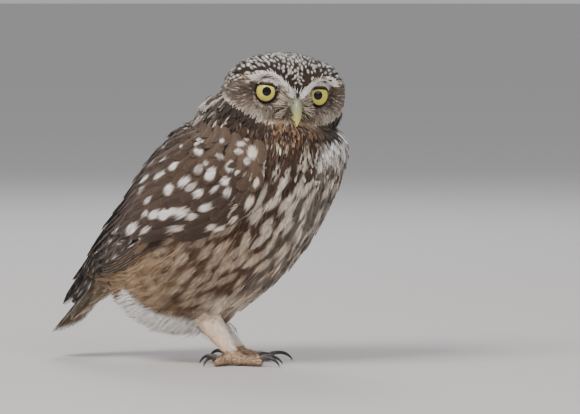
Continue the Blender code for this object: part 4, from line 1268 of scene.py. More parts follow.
def body_colour(rng, share, around):
    """The body's markings for feathers at these places."""
    count = len(share)
    zones = body_zone(share, around)
    shade = rng.uniform(0.9, 1.1, count)[:, None, None]
    spotted = rng.random(count) > 0.55

    def colour(u, v, picks, points):
        here = [a[picks][:, None] + 0 * u for a in zones]
        mantle, _, plain, _, _ = here
        ground = marked(points, here)
        shaft = 0.35 * fall(0.04, 0.3, np.abs(u)) * (1 - plain) * (1 - mantle) * smooth_step(0.2, 0.6, v)
        ground = mix(ground, WING_DARK, shaft * (1 - vent_part(points)) * 0.6)
        drop = spot_mask(u, v, 0.0, 0.72, 0.5, 0.18, 0.3) * (mantle > 0.5) * (spotted[picks][:, None] * 0.9)
        return mix(ground, BREAST_WHITE, drop) * shade[picks]

    return colour


def make_body():
    rng = np.random.default_rng(41)
    share, around = trunk_roots(rng, COAT_REAR, COAT_FRONT, 7.0, 5.8, 0.35)
    angle = np.degrees(np.abs(around))
    edge = read_curve(WING_EDGE, share)[..., 0]
    keep = ~((share < 0.80) & (angle > 20) & (angle < edge - 9))
    place = trunk_point(share, around)
    on, _ = BODY_GROUND.nearest(place - trunk_normal(share, around) * 2.0)
    keep &= np.linalg.norm(on - place, axis=1) < 6.0
    keep &= np.linalg.norm(to_head(place) / HEAD_CORE, axis=1) > 0.93
    keep &= ~over_wing(share, angle, 22.0)
    share, around, place = share[keep], around[keep], place[keep]
    count = len(share)
    flow = trunk_flow(share, around) + rng.normal(0, 0.07, (count, 3))
    mantle, shoulder, *_ = body_zone(share, around)
    short = 1 - 0.3 * np.maximum(mantle, shoulder)
    length = rng.uniform(19, 25, count) * short
    half_width = rng.uniform(3.9, 5.1, count) * (1 - 0.15 * shoulder)
    lift = rng.uniform(1.6, 2.6, count) * (1 - 0.3 * mantle)
    lie = rolled(lay_on(BODY_GROUND, place, flow, length, lift), rng.uniform(-0.1, 0.1, count))
    colour = body_colour(rng, share, around)
    bake = body_bake(share, around)
    for name, chosen in (("right", np.flatnonzero(around <= 0)), ("left", np.flatnonzero(around > 0))):
        coat = Coat("body_feathers_" + name, "body_feathers")
        lay_random(coat, SOFT, rng, lie, half_width, colour, bake, length, chosen=chosen)
        coat.make()


def make_wisps():
    """The loose tips between the body's feathers, and the down of the vent."""
    rng = np.random.default_rng(51)
    coat = Coat("body_down", "body_feathers")
    passes = ((1.9, 1.6, 0.25, COAT_FRONT, False), (1.3, 1.3, 0.2, 0.56, True))
    for row_gap, column_gap, first, last, vent_only in passes:
        share, around = trunk_roots(rng, first, last, row_gap, column_gap, 0.45)
        angle = np.degrees(np.abs(around))
        edge = read_curve(WING_EDGE, share)[..., 0]
        zones = body_zone(share, around)
        place = trunk_point(share, around)
        vent = vent_part(place - [0, 0, 2.5])
        keep = ~((share < 0.86) & (angle < edge - 1)) & (zones[0] < 0.3)
        keep &= np.linalg.norm(to_head(place) / HEAD_CORE, axis=1) > 0.95
        keep &= ~over_wing(share, angle, 10.0)
        if vent_only:
            keep &= vent > 0.3
        share, around, vent, place = share[keep], around[keep], vent[keep], place[keep]
        zones = [a[keep] for a in zones]
        count = len(share)
        length = rng.uniform(7, 13, count) * (1 + 0.3 * vent)
        lift = rng.uniform(1.4, 2.8, count) * (1 + 1.1 * vent)
        flow = trunk_flow(share, around) + rng.normal(0, 0.12, (count, 3))
        hanging = (rng.random(count) < 0.16) * smooth_step(0.7, 1.0, vent) * (place[:, 2] < 62)
        length = length * (1 + 0.3 * hanging)
        lift = lift * (1 + 0.25 * hanging)
        flow[:, 2] -= 0.45 * vent + 0.35 * hanging
        lie = lay_on(GROUND, place, flow, length, lift)
        pale = rng.uniform(-0.34, 0.24, count)
        shade = rng.uniform(0.84, 1.12, count)[:, None, None]

        def colour(u, v, picks, points, zones=zones, pale=pale, shade=shade):
            here = [a[picks][:, None] + 0 * u for a in zones]
            extra = pale[picks][:, None] * (1 - 0.6 * here[2])
            return marked(points, here, extra) * shade[picks]

        bake = body_bake(share, around)
        lay_random(coat, WISPS, rng, lie, rng.uniform(0.26, 0.5, count), colour, bake, length)
    coat.make()


def make_leg_down():
    rng = np.random.default_rng(61)
    coat = Coat("leg_down", "leg_feathers")
    for hand in (-1, 1):
        count = LEG_TUFTS
        height = rng.uniform(9, 37, count)
        around = rng.uniform(0, 2 * math.pi, count)
        radius = np.interp(height, [8, 15, 22, 30, 46], [4.2, 5.4, 6.8, 8.0, 9.5])
        line = np.array([leg_line(hand, h) for h in height])
        place = line + radius[:, None] * np.stack([np.cos(around), np.sin(around), 0 * around], -1)
        slope = leg_line(hand, 8.0) - leg_line(hand, 40.0)
        flow = unit(slope)[None] + rng.normal(0, 0.12, (count, 3))
        length = rng.uniform(4.5, 7.5, count) * np.interp(height, [9, 20, 40], [0.6, 1.1, 1.7])
        lift = rng.uniform(0.5, 1.4, count) * np.interp(height, [9, 20, 40], [0.7, 1.2, 1.3])
        lie = lay_on(GROUND, place, flow, length, lift)
        ahead = smooth_step(0.6, 0.95, np.cos(around)) + 0.5 * (hand > 0)
        base = mix(LEG_BUFF, VENT_WHITE, np.clip(rng.uniform(0, 0.3, count) + 0.5 * ahead, 0, 1))
        base = base * rng.uniform(0.88, 1.08, count)[:, None]
        bake = np.stack([0.63 + 0.1 * (hand + 1) + 0.18 * around / (2 * math.pi), 0.25 + height * 0.004], -1)
        lay_random(coat, WISPS, rng, lie, rng.uniform(0.4, 0.8, count), toned(base), bake, length)
    coat.make()


# The head

def directions(rng, spacing):
    """Directions spread evenly over the head, about a spacing apart on its surface."""
    count = int(4 * math.pi * HEAD_SPAN**2 / spacing**2)
    number = np.arange(count) + 0.5
    height = 1 - 2 * number / count
    azimuth = number * math.pi * (3 - math.sqrt(5))
    flat = np.sqrt(1 - height**2)
    way = np.stack([height, flat * np.cos(azimuth), flat * np.sin(azimuth)], axis=-1)
    return unit(way + rng.normal(0, 0.28 * spacing / HEAD_SPAN, way.shape))


# The brow's upper edge and the pale band under the face: places aside, and heights there.
BROW_SIDE, BROW_UP = (0, 2.5, 5, 9, 15.5, 24, 33, 45), (2.2, 4.0, 6.7, 9.7, 12.3, 14.2, 14.8, 13.4)
BAND_SIDE, BAND_UP = (0, 8, 15.6, 21, 26, 30, 34, 37), (-17.0, -16.0, -13.9, -12.0, -9.6, -7.0, -4.0, 0.0)


class HeadPlaces:
    """Where directions from the middle of the head fall on it, and what part of the face is there."""

    def __init__(self, way):
        self.way = way
        self.local = way * (head_radius(way) - HEAD_COAT)[:, None]
        x = np.maximum(self.local[:, 0], 3.0)
        side = np.abs(self.local[:, 1])
        self.face_side = FORM_REACH * side / x
        self.face_up = FORM_REACH * self.local[:, 2] / x
        self.side, self.up, self.ahead = side, self.local[:, 2], self.local[:, 0]
        brow = np.interp(self.face_side, BROW_SIDE, BROW_UP)
        self.over_brow = (self.face_up - brow) * x / FORM_REACH
        self.over_band = self.up - np.interp(side, BAND_SIDE, BAND_UP)
        eyes = []
        for hand in (-1, 1):
            centre, looks = eye_place(hand)
            from_eye = self.local - centre
            ahead = (from_eye * looks).sum(axis=1)
            away = np.linalg.norm(from_eye - ahead[:, None] * looks, axis=1)
            eyes.append(np.where(ahead > 0, away, FAR))
        self.eye_away = np.minimum(*eyes)
        self.hand = np.where(self.local[:, 1] < 0, -1, 1)
        in_bill = (side < 3.3) & (self.up < 0.6) & (self.up > -10.0) & (self.ahead > 20)
        self.free = (self.eye_away > 6.5) & ~in_bill
        self.face = (self.over_brow < 0) & (self.over_band > -1.0) & (self.ahead > 1.0 + 0.25 * np.abs(self.up))

    def pick(self, keep):
        return HeadPlaces(self.way[keep])


def head_flow(places):
    """The lie of the coat on the head, in its own frame."""
    local = places.local
    back = np.tile([-1.0, 0.0, -0.35], (len(local), 1))
    back[:, 1] = 0.25 * np.sign(local[:, 1]) * smooth_step(4, 20, places.side)
    back[:, 2] -= 0.7 * fall(-14, 2, places.up)
    centre = np.array([eye_place(hand)[0] for hand in (-1, 1)])
    eye = centre[(places.hand > 0).astype(int)]
    from_eye = unit(local - eye)
    from_bill = unit(local - np.array([27.0, 0.0, -1.0]))
    near_bill = fall(7, 13, places.face_side)
    radial = unit(from_eye * (1 - near_bill[:, None]) + from_bill * near_bill[:, None])
    part = places.face[:, None].astype(float)
    return back * (1 - part) + radial * part


def face_ground(places, rng):
    """The colour of the face's short feathers at each place."""
    side, up = places.face_side, places.face_up
    count = len(side)
    around_eye = np.degrees(np.arctan2(up - EYE_UP, side - EYE_SIDE))
    base = mix(DISC, DISC_PALE, np.clip(rng.normal(0.2, 0.16, count), 0, 1))
    temple = bell(around_eye, 42, 22) * smooth_step(8, 11, places.eye_away)
    ear = bell(around_eye, 2, 26) + 0.6 * bell(around_eye, 80, 16)
    cheek = bell(around_eye, -70, 30) * bell(places.eye_away, 11.0, 2.0)
    dark_ring = fall(7.5, 10.0, places.eye_away)
    inner = bell(side, 6.0, 2.6) * bell(up, 1.0, 3.6)
    # painted shade beside the base of the bill, on both sides of it
    chin = fall(-13.5, -9.0, up) * fall(14, 21, side)
    bill_side_shade = bell(side, 8.0, 3.6) * bell(up, -6.2, 2.8)
    band = bell(places.over_band, 1.8, 1.9) * smooth_step(9, 14, places.side)
    brow = bell(places.over_brow, -1.2, 1.2) * fall(26, 36, side)
    layers = (
        (TEMPLE, temple * 0.8),
        (DARK_MARK_AND_SHADE, np.clip(ear, 0, 1) * 0.55),
        (CHEEK, cheek * 0.55),
        (DARK_MARK_AND_SHADE, dark_ring * 0.5),
        (FACE_INNER, inner * 0.85),
        (FACE_CHIN, chin * 0.9),
        # the face's dark colour painted as shade beside the bill
        (DARK_MARK_AND_SHADE * 0.8, np.clip(bill_side_shade * 1.3, 0, 0.85)),
        (FACE_BAND, np.clip(band * 1.1, 0, 0.9)),
        (BROW_WHITE, np.clip(brow * 1.2, 0, 1)),
    )
    for tone, part in layers:
        base = mix(base, tone, part)
    hairs = rng.random(count)
    base = mix(base, DARK_MARK_AND_SHADE * 0.9, (hairs < 0.22) * 0.45 * (1 - np.clip(brow + band, 0, 1)))
    base = mix(base, BROW_WHITE, (hairs > 0.88) * 0.36 * (1 - 0.8 * bill_side_shade))
    return base * rng.uniform(0.84, 1.12, count)[:, None]


def lay_head(coat, rng, places, templates, length, half_width, lift, colour, spread=0.08, flow=None):
    world = from_head(places.local)
    flow = unit(head_flow(places) if flow is None else flow)
    flow = flow @ HEAD_TURN.T + rng.normal(0, spread, world.shape)
    on, _ = GROUND.nearest(world)
    index = np.flatnonzero(np.linalg.norm(on - world, axis=1) < 3.2)
    lie = lay_on(GROUND, world[index], flow[index], length[index], lift[index])
    lie = rolled(lie, rng.uniform(-0.15, 0.15, len(index)))

    def colour_here(u, v, picks, points):
        return colour(u, v, index[picks], points)

    bake = head_bake(places.way[index])
    lay_random(coat, templates, rng, lie, half_width[index], colour_here, bake, length[index])


def make_crown(rng):
    coat = Coat("crown_feathers", "head_feathers")
    places = HeadPlaces(directions(rng, 2.3))
    over_brow = (places.over_brow > 0.9) | (places.ahead < 12)
    places = places.pick(places.free & ~places.face & (places.over_band > -3.5) & over_brow)
    count = len(places.way)
    low, behind = np.clip((16 - places.up) / 20, 0, 1), np.clip((8 - places.ahead) / 24, 0, 1)
    back = smooth_step(0, 1, behind) * smooth_step(0, 1, low)
    front = smooth_step(18, 27, places.ahead)
    length = rng.uniform(4.8, 6.2, count) * (1 + 0.75 * back) * (1 - 0.3 * front)
    half_width = rng.uniform(1.25, 1.75, count) * (1 + 0.5 * back) * (1 - 0.25 * front)
    lift = rng.uniform(0.7, 1.3, count) * (1 + 0.4 * back)
    shade = rng.uniform(0.82, 1.15, count)
    has_spot = np.where(rng.random(count) < 0.88, rng.uniform(0.7, 1.0, count), 0.0)
    wide = rng.uniform(0.42, 0.8, count) * (1 - 0.2 * front)
    long = rng.uniform(0.16, 0.28, count) * (1 + 0.3 * front)
    lean = rng.uniform(-0.2, 0.2, count)
    temple = smooth_step(18, 30, places.side) * fall(6, 16, places.up)

    def colour(u, v, picks, points):
        b, t, at_u, spot_wide, spot_long = (a[picks][:, None] for a in (back, temple, lean, wide, long))
        ground = mix(CROWN_DARK, WING_BROWN, 0.5 * b + 0.4 * t + 0 * u)
        spot = spot_mask(u, v, at_u, 0.66, spot_wide, spot_long, 0.25)
        white = mix(CROWN_SPOT, BELLY_BUFF, 0.4 * t + 0.1 * b + 0.25 * front[picks][:, None])
        return mix(ground, white, spot * has_spot[picks][:, None]) * shade[picks][:, None, None]

    lay_head(coat, rng, places, SMALL, length, half_width, lift, colour)
    coat.make()


def make_face(rng):
    coat = Coat("face_feathers", "head_feathers")
    places = HeadPlaces(directions(rng, 0.7))
    places = places.pick(places.free & places.face)
    count = len(places.way)
    tone = face_ground(places, rng)
    near = fall(8, 12, places.eye_away)
    chin = fall(-15, -12, places.up) * fall(12, 20, places.side)
    length = rng.uniform(4.0, 6.4, count) * (1 - 0.4 * near) * (1 + 0.55 * chin)
    half_width = rng.uniform(0.2, 0.36, count)
    lift = rng.uniform(0.5, 1.1, count)
    lay_head(coat, rng, places, WISPS, length, half_width, lift, toned(tone, 0.82, 0.25), 0.12)
    lay_brows(coat, rng)
    lay_bristles(coat, rng)
    coat.make()


def lay_brows(coat, rng):
    """The white brows, swept out and up from the bill."""
    brows = HeadPlaces(directions(rng, 0.8))
    side = brows.face_side
    thick = 0.8 * smooth_step(6, 12, side) * fall(18, 24, side)
    keep = np.abs(brows.over_brow + 1.0 + thick) < 1.7 + thick - 0.02 * side
    brows = brows.pick(keep & (side < 31) & (brows.ahead > 6) & (brows.eye_away > 6.4))
    side = brows.face_side
    count = len(side)
    white = mix(BROW_WHITE, BROW_SIDE_TONE, smooth_step(20, 31, side) * 0.8)
    white = white * rng.uniform(0.92, 1.06, count)[:, None]
    slope = np.interp(side + 1.5, BROW_SIDE, BROW_UP) - np.interp(side - 1.5, BROW_SIDE, BROW_UP)
    flow = np.stack([-0.25 - 0.02 * side, brows.hand, slope / 3.0 + 0.06], axis=-1)
    sizes = (rng.uniform(4.0, 6.5, count), rng.uniform(0.4, 0.65, count), rng.uniform(1.0, 1.8, count))
    lay_head(coat, rng, brows, WISPS, *sizes, toned(white, 0.92, 0.1), 0.07, flow)


def lay_bristles(coat, rng):
    """The long bristles that fan out from the base of the bill."""
    count = BRISTLES
    hand = rng.choice([-1, 1], count)
    root = np.stack([np.full(count, 28.0), hand * rng.uniform(3.4, 6.0, count), rng.uniform(-8.5, 3.5, count)], axis=-1)
    way = unit(root)
    root = way * (head_radius(way) - HEAD_COAT)[:, None]
    tilt = (root[:, 2] + 2.5) / 5.0
    flow = np.stack([0.25 + 0 * tilt, hand * (0.8 - 0.25 * np.abs(tilt)), tilt * 0.8], axis=-1)
    flow = (flow + rng.normal(0, 0.16, flow.shape)) @ HEAD_TURN.T
    length = rng.uniform(5.5, 9.0, count)
    lift = rng.uniform(0.8, 2.2, count)
    lie = lay_on(GROUND, from_head(root), flow, length, lift)
    tone = mix(BRISTLE_PALE, DARK_MARK_AND_SHADE * 0.7, rng.random(count) < 0.42)
    lay_random(coat, WISPS, rng, lie, rng.uniform(0.1, 0.18, count), toned(tone), head_bake(way), length)


def scatter(ground, keep, spacing, rng):
    """Places on a surface's triangles, about a spacing apart, where keep(places) is true."""
    middles = ground.points[ground.faces].mean(axis=1)
    order = rng.permutation(len(middles))
    cells = np.floor(middles[order] / spacing + rng.random(3)).astype(int)
    _, first = np.unique(cells, axis=0, return_index=True)
    places = middles[order[first]]
    return places[keep(places)]


def make_ruff(rng):
    """The dark ruff under the face, the throat's white patch and the neck's feathers."""

    def keep(places):
        local = to_head(places)
        over = local[:, 2] - np.interp(np.abs(local[:, 1]), BAND_SIDE, BAND_UP)
        in_bill = (np.abs(local[:, 1]) < 2.6) & (local[:, 2] > -12.5) & (local[:, 0] > 20)
        return (over < 2.4) & (places[:, 2] > 108) & (local[:, 2] > -42) & ~in_bill

    rows = (("ruff_feathers", 1.25, 0.8, 5), ("throat_feathers", 1.5, 1.0, 10), ("neck_feathers", 2.2, 1.5, 26))
    for name, spacing, size, reach in rows:
        coat = Coat(name, "head_feathers")
        place = scatter(GROUND, keep, spacing, rng)
        local = to_head(place)
        below = np.interp(np.abs(local[:, 1]), BAND_SIDE, BAND_UP) - local[:, 2]
        place, local, below = (a[below < reach] for a in (place, local, below))
        count = len(place)
        behind = fall(-3, 8, local[:, 0])
        front = fall(9, 17, np.abs(local[:, 1] + 1.0)) * smooth_step(2, 12, local[:, 0])
        away = unit(local - np.array([6.0, 0.0, 4.0]))
        flow = away @ HEAD_TURN.T + [-0.1, 0.0, -1.0] + rng.normal(0, 0.16, place.shape) * (1 + front)[:, None]
        dark = mix(RUFF_DARK, RUFF_RUST, np.clip(front * rng.uniform(-0.5, 1.0, count), 0, 1))
        chin = front * fall(-1.6, -0.5, below + rng.normal(0, 0.4, count))
        dark = mix(dark, CHIN_TAN, chin * (rng.random(count) < 0.6) * 0.9)
        streaks = rng.random(count) < np.where(local[:, 1] < 2, 0.3 if size < 1.4 else 0.04, 0.5)
        lower = mix(BREAST_BROWN, BREAST_WHITE, streaks * rng.uniform(0.4, 1.0, count))
        flank = fall(-15, -8, local[:, 1]) * 3.0
        tone = mix(dark, lower, smooth_step(4.5 - flank, 7.5 - flank, below + rng.normal(0, 0.7, count)))
        white = smooth_step(9, 16, local[:, 1]) * smooth_step(4.5, 7, below) * fall(15, 19, below)
        tone = mix(tone, VENT_WHITE, white * (rng.random(count) < 0.88) * 0.97)
        nape = mix(WING_BROWN, CROWN_SPOT, (rng.random(count) < 0.62) * rng.uniform(0.3, 0.95, count))
        tone = mix(tone, nape, behind)
        tone = tone * rng.uniform(0.8, 1.15, count)[:, None]
        tipped = (rng.random(count) < 0.26) * front * fall(5, 8, below)

        def colour(u, v, picks, points, tone=tone, tipped=tipped):
            pale = tipped[picks][:, None] * smooth_step(0.6, 0.85, v) * 0.7
            return mix(tone[picks][:, None] * (0.85 + 0.25 * v)[..., None], RUFF_TIP, pale + 0 * u)

        length = rng.uniform(5.0, 7.5, count) * size * (1 + 0.5 * behind) * (1 - 0.25 * front)
        lift = rng.uniform(0.8, 1.9, count) * size * (1 + 0.8 * behind)
        lie = rolled(lay_on(GROUND, place, flow, length, lift), rng.uniform(-0.2, 0.2, count))
        half_width = rng.uniform(0.6, 1.0, count) * size * (1 + 0.6 * behind) * (1 - 0.4 * front)
        lay_random(coat, SMALL, rng, lie, half_width, colour, head_bake(unit(local)), length)
        coat.make()


def make_head():
    rng = np.random.default_rng(71)
    make_crown(rng)
    make_face(rng)
    make_ruff(rng)


# Eyes, bill and feet

GAZE = {-1: 0.0, 1: -24.0}  # degrees that each pupil is turned from the middle of its lids


def eye_axes(looks):
    aside = unit(np.cross(looks, [0.0, 0.0, 1.0]))
    return aside, np.cross(aside, looks)


def make_eye(side, hand):
    centre, lid_looks = eye_place(hand)
    looks = turn("Z", GAZE[hand]) @ lid_looks
    aside, up = eye_axes(looks)
    pupil_rings = [*np.linspace(0, 17.4, 9)[1:], 18.0, 18.6]
    degrees = np.array([*pupil_rings, *np.linspace(20, IRIS_EDGE, 34), *np.linspace(64, 176, 22)])
    azimuth = circle(144)
    rng = np.random.default_rng(81 + hand)
    streaks = np.zeros(len(azimuth))
    for wave in (7, 13, 23, 31, 47):
        streaks += rng.uniform(0.5, 1.0) * np.sin(wave * azimuth + rng.uniform(0, 6.28)) / 5
    away = np.cos(azimuth)[:, None] * aside + np.sin(azimuth)[:, None] * up
    angle = np.radians(degrees)[:, None, None]
    rings = np.cos(angle) * looks + np.sin(angle) * away
    from_lids = np.degrees(np.arccos(np.clip(rings @ lid_looks, -1, 1)))
    part = ((degrees - PUPIL_EDGE) / 25)[:, None]
    level = (0.86 + 0.14 * streaks * (0.4 + part)) * (0.92 + 0.16 * np.sin(part * 9.0) ** 2)
    level = level * (1 - 0.4 * np.clip((from_lids - 46) / 6, 0, 1)) * (0.7 + 0.3 * np.clip(part / 0.08, 0, 1))
    colours = np.where((from_lids > IRIS_EDGE)[..., None], EYE_RIM, IRIS * level[..., None])
    colours[degrees < PUPIL_EDGE] = PUPIL
    colours = np.concatenate([colours.reshape(-1, 3), [PUPIL, EYE_RIM]])
    points, faces = loft(centre + EYE_RADIUS * rings)
    points[-2:] = centre + looks * EYE_RADIUS, centre - looks * EYE_RADIUS
    points = from_head(points)
    turned = (points - points.mean(axis=0)) @ HEAD_TURN
    bake = 0.5 + 0.45 * np.stack([turned @ aside, turned @ up], axis=-1) / EYE_RADIUS
    material = mottled("eye", 0.1, 1500.0, 0.04, specular=0.35)
    made = fast_mesh("eyeball_" + side, material, points, faces, colours, bake)
    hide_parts("eye_" + side)


# The opening's half width and its upper edge's height, the lids' outer radius, how far they sit aside, and how far
# from the middle of the eye.
LID_IN, LID_TOP, LID_OUT, LID_SHIFT, LID_BALL = 5.4, 3.7, 7.6, 0.9, 8.1


def lid_rim(hand, steps=96, rows=14):
    """A closed ring of skin round an eye, the upper half low over the iris: its points, triangles and colours."""
    centre, looks = eye_place(hand)
    aside, up = eye_axes(looks)
    across, high = np.cos(circle(steps)), np.sin(circle(steps))
    inner_side, inner_up = LID_IN * across, LID_IN * high
    inner_up = np.where(high > 0, LID_TOP * np.tanh(inner_up / LID_TOP), inner_up)
    rings, shades = [], []
    for row in range(rows):
        part = 1 - abs(2 * row / rows - 1) if row else 0.0
        s = LID_SHIFT + inner_side + (LID_OUT * across - inner_side) * part
        t = inner_up + (LID_OUT * high - inner_up) * part
        thick = 0.28 + 0.3 * math.sin(part * math.pi) if row <= rows // 2 else -0.5
        reach = np.sqrt(np.maximum(LID_BALL**2 - s**2 - t**2, 1.0)) + (thick if 0 < part < 1 else 0.0)
        rings.append(centre + aside * s[:, None] + up * t[:, None] + looks * reach[:, None])
        from_edge = np.hypot(s - LID_SHIFT - inner_side, t - inner_up)
        rim = fall(1.3 + 0.2 * (high > 0.3), 1.85 + 0.3 * (high > 0.3), from_edge)
        skin = mix(DISC, DISC_PALE, 0.6 * smooth_step(0.2, 0.8, high))
        shades.append(mix(skin, LID_RIM, rim))
    points = from_head(np.stack(rings, axis=1).reshape(-1, 3))
    grid = np.arange(steps * rows).reshape(steps, rows).T
    faces = grid_faces(np.pad(grid, ((0, 1), (0, 1)), mode="wrap"))
    a, b, c = (points[faces[: 2 * steps, k]] for k in range(3))
    if (np.cross(b - a, c - a) @ (HEAD_TURN @ looks)).sum() < 0:
        faces = faces[:, ::-1]
    return points, faces, np.stack(shades, axis=1).reshape(-1, 3)


def lay_lid_tufts(coat, rng, hand, ground):
    """Short feathers on the lids, the longer ones over the upper lid."""
    centre, looks = eye_place(hand)
    aside, up = eye_axes(looks)
    count = LID_TUFTS
    angle = rng.uniform(0, 2 * math.pi, count)
    high = np.sin(angle)
    upper_edge = LID_TOP * np.tanh(LID_IN * high / LID_TOP) / np.maximum(high, 0.3)
    start = np.where(high > 0, upper_edge + 1.5, LID_IN + 1.2)
    radius = np.minimum(start + rng.uniform(0, 1.6, count), 7.0)
    spot = aside * (LID_SHIFT + radius * np.cos(angle))[:, None] + up * (radius * high)[:, None]
    reach = np.sqrt(np.maximum((LID_BALL + 0.2) ** 2 - (spot**2).sum(axis=1), 1.0))
    place = from_head(centre + spot + looks * reach[:, None])
    flow = unit(spot) @ HEAD_TURN.T + rng.normal(0, 0.15, (count, 3))
    over = (rng.random(count) < 0.7) * smooth_step(0.25, 0.6, high)
    length = rng.uniform(1.8, 3.0, count) + 2.6 * over
    lift = rng.uniform(0.2, 0.5, count) + 0.7 * over
    lie = lay_on(ground, place, flow, length, lift, 0.15)
    tone = mix(DISC, DARK_MARK_AND_SHADE, rng.uniform(0, 0.7, count))
    pale = 0.6 * smooth_step(0.3, 0.9, high) * rng.random(count) + 0.2 * rng.random(count)
    tone = mix(mix(tone, BROW_WHITE, pale), mix(BROW_WHITE, DISC_PALE, 0.35), 0.85 * over)
    half_width = rng.uniform(0.18, 0.3, count) + 0.14 * over
    lay_random(coat, WISPS, rng, lie, half_width, toned(tone), head_bake(unit(centre + spot)), length)


def make_lids():
    rng = np.random.default_rng(85)
    coat = Coat("eyelid_feathers", "head_feathers")
    pieces, tones = [], []
    for hand in (-1, 1):
        points, faces, colours = lid_rim(hand)
        lay_lid_tufts(coat, rng, hand, Ground(points, faces))
        pieces.append((points, faces))
        tones.append(colours)
    coat.make()
    points, faces = joined(pieces)
    material = mottled("lid", 0.45, 900.0, 0.2, bump=0.4, bump_scale=1400.0)
    made = fast_mesh("eyelids", material, points, faces, np.concatenate(tones), 0.3 + 0.001 * points[:, :2])


def make_bill():
    material = mottled("bill", 0.34, 300.0, 0.10, bump=0.12, bump_scale=500.0, specular=0.45, coat=0.25)
    sides, count = 64, 72
    for name, rows in (("bill_upper", UPPER_BILL), ("bill_lower", LOWER_BILL)):
        shares = np.linspace(0, 1, count)
        points, faces = loft([oval(rows, 1.9, np.full(sides, share), circle(sides)) for share in shares])
        share = np.concatenate([np.repeat(shares, sides), [0, 1]])
        colours = mix(BILL_BASE, BILL_TIP, smooth_step(0.35, 0.95, share))
        colours = mix(colours, BILL_ROOT, fall(0.15, 0.4, share))
        if name == "bill_upper":
            for hand in (-1, 1):
                away = np.linalg.norm(points - np.array(NOSTRIL_AT) * [1, hand, 1], axis=1)
                pit = fall(0.5, 1.3, away)
                points[:, 1] -= hand * pit * 1.0
                # painted shade of the nostril's opening, in its shallow pit
                colours = mix(colours, NOSTRIL_SHADE, pit)
        bake = np.stack([0.7 + 0.05 * share, 0.3 + 0.0005 * np.arange(len(points)) % 64 / 64], axis=-1)
        made = fast_mesh("horn_" + name, material, from_head(points), faces, colours, bake)
        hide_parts(name)


def tube_rings(line, radii, sides, flat=1.0):
    line = np.asarray(line, float)
    along = unit(np.gradient(line, axis=0))
    angles = circle(sides)
    rings = []
    for middle, heading, radius in zip(line, along, radii, strict=True):
        wide = unit(np.cross([0.0, 0.0, 1.0], heading)) if abs(heading[2]) < 0.98 else np.array([0.0, 1.0, 0.0])
        high = np.cross(heading, wide)
        ring = np.cos(angles)[:, None] * wide + flat * np.sin(angles)[:, None] * high
        rings.append(middle + radius * ring)
    return rings


def toe_heading(hand, degrees):
    angle = math.radians(degrees)
    return np.array([math.cos(angle), hand * math.sin(angle), 0.0])


def claw_line(start, heading, length, count):
    line = []
    for bend in np.linspace(0, 1, count):
        ahead = length * math.sin(bend * 1.5) / math.sin(1.5)
        rise = 2.4 * math.sin(bend * math.pi)
        height = (start[2] - 0.55) * (1 - bend**2.6) + 0.55 + rise * (1 - bend)
        line.append([start[0] + heading[0] * ahead, start[1] + heading[1] * ahead, height])
    return line


def make_feet():
    rng = np.random.default_rng(91)
    horn = mottled("claw", 0.3, 400.0, 0.2, bump=0.15, bump_scale=700.0, specular=0.45, coat=0.2)
    toe_skin = mottled("toe", 0.62, 700.0, 0.3, bump=0.9, bump_scale=1300.0)
    bristles = Coat("toe_bristles", "toes")
    for side, hand in (("right", -1), ("left", 1)):
        x, y = FOOT_AT[hand]
        rows = ((0.9, 4.4, 4.2), (3.0, 5.0, 4.6), (5.5, 4.6, 4.2), (8.6, 4.0, 3.7), (10.5, 3.9, 3.6))
        pieces = [loft(leg_rings(hand, rows))]
        claws = []
        steps = np.linspace(0, 1, 40)
        pads = 1 + 0.10 * np.cos(steps * 6 * math.pi)
        end = np.sqrt(np.clip(1 - np.clip((steps - 0.86) / 0.16, 0, 1) ** 2, 0.15, 1))
        radii = TOE_RADIUS * (1 - 0.2 * steps) * pads * end
        for toe, degrees, length, claw_length in TOES:
            heading = toe_heading(hand, degrees)
            line = [[x, y, TOE_HEIGHT + 1.6 * (1 - s) ** 2] + heading * length * s for s in steps]
            pieces.append(loft(tube_rings(line, radii, 28)))
            tip = [x, y, TOE_HEIGHT + 1.5] + heading * (length - 1.6)
            line = claw_line(tip, heading, claw_length, len(steps))
            claw = tube_rings(line, CLAW_RADIUS * (1 - 0.86 * steps**1.5), CLAW_SIDES, 1.15)
            claws.append(("claw_" + toe + "_" + side, loft(claw)))
        points, faces = remeshed("foot_raw", pieces, 0.5, 4)
        points[:, 2] = np.maximum(points[:, 2], 0.02)
        tone = TOE_TONE * (0.9 + 0.2 * rng.random(len(points)))[:, None]
        tone = mix(tone, SOLE_TONE, fall(0.4, 2.4, points[:, 2]))
        foot = fast_mesh("toes_" + side, toe_skin, points, faces, tone, 0.8 + 0.002 * (points[:, :2] - [x, y]))
        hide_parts("foot_" + side)
        share = np.concatenate([np.repeat(steps, CLAW_SIDES), [0, 1]])
        shade = mix(CLAW_ROOT, CLAW_TIP, smooth_step(0.0, 0.5, share))
        for name, (claw_points, claw_faces) in claws:
            claw_points[:, 2] = np.maximum(claw_points[:, 2], 0.03)
            bake = 0.9 + 0.001 * claw_points[:, :2]
            claw = fast_mesh("horn_" + name, horn, claw_points, claw_faces, shade, bake)
            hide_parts(name)
        ground = Ground(points, faces)
        up_side = np.flatnonzero(ground.normals[faces[:, 0]][:, 2] > -0.1)
        place = points[faces[rng.choice(up_side, TOE_TUFTS, replace=False)]].mean(axis=1)
        flow = unit(place - [x - 2, y, 4.0]) * [1, 1, 0.2] + rng.normal(0, 0.25, place.shape)
        length, lift = rng.uniform(1.6, 3.0, TOE_TUFTS), rng.uniform(0.3, 0.8, TOE_TUFTS)
        lie = lay_on(ground, place, flow, length, lift, 0.2)
        tone = mix(LEG_BUFF, TOE_BRISTLE, rng.uniform(0.2, 1, TOE_TUFTS))
        bake = 0.8 + 0.002 * (place[:, :2] - [x, y])
        half_width = rng.uniform(0.18, 0.34, TOE_TUFTS)
        lay_random(bristles, WISPS, rng, lie, half_width, toned(tone, gain=0.25), bake)
    bristles.make()


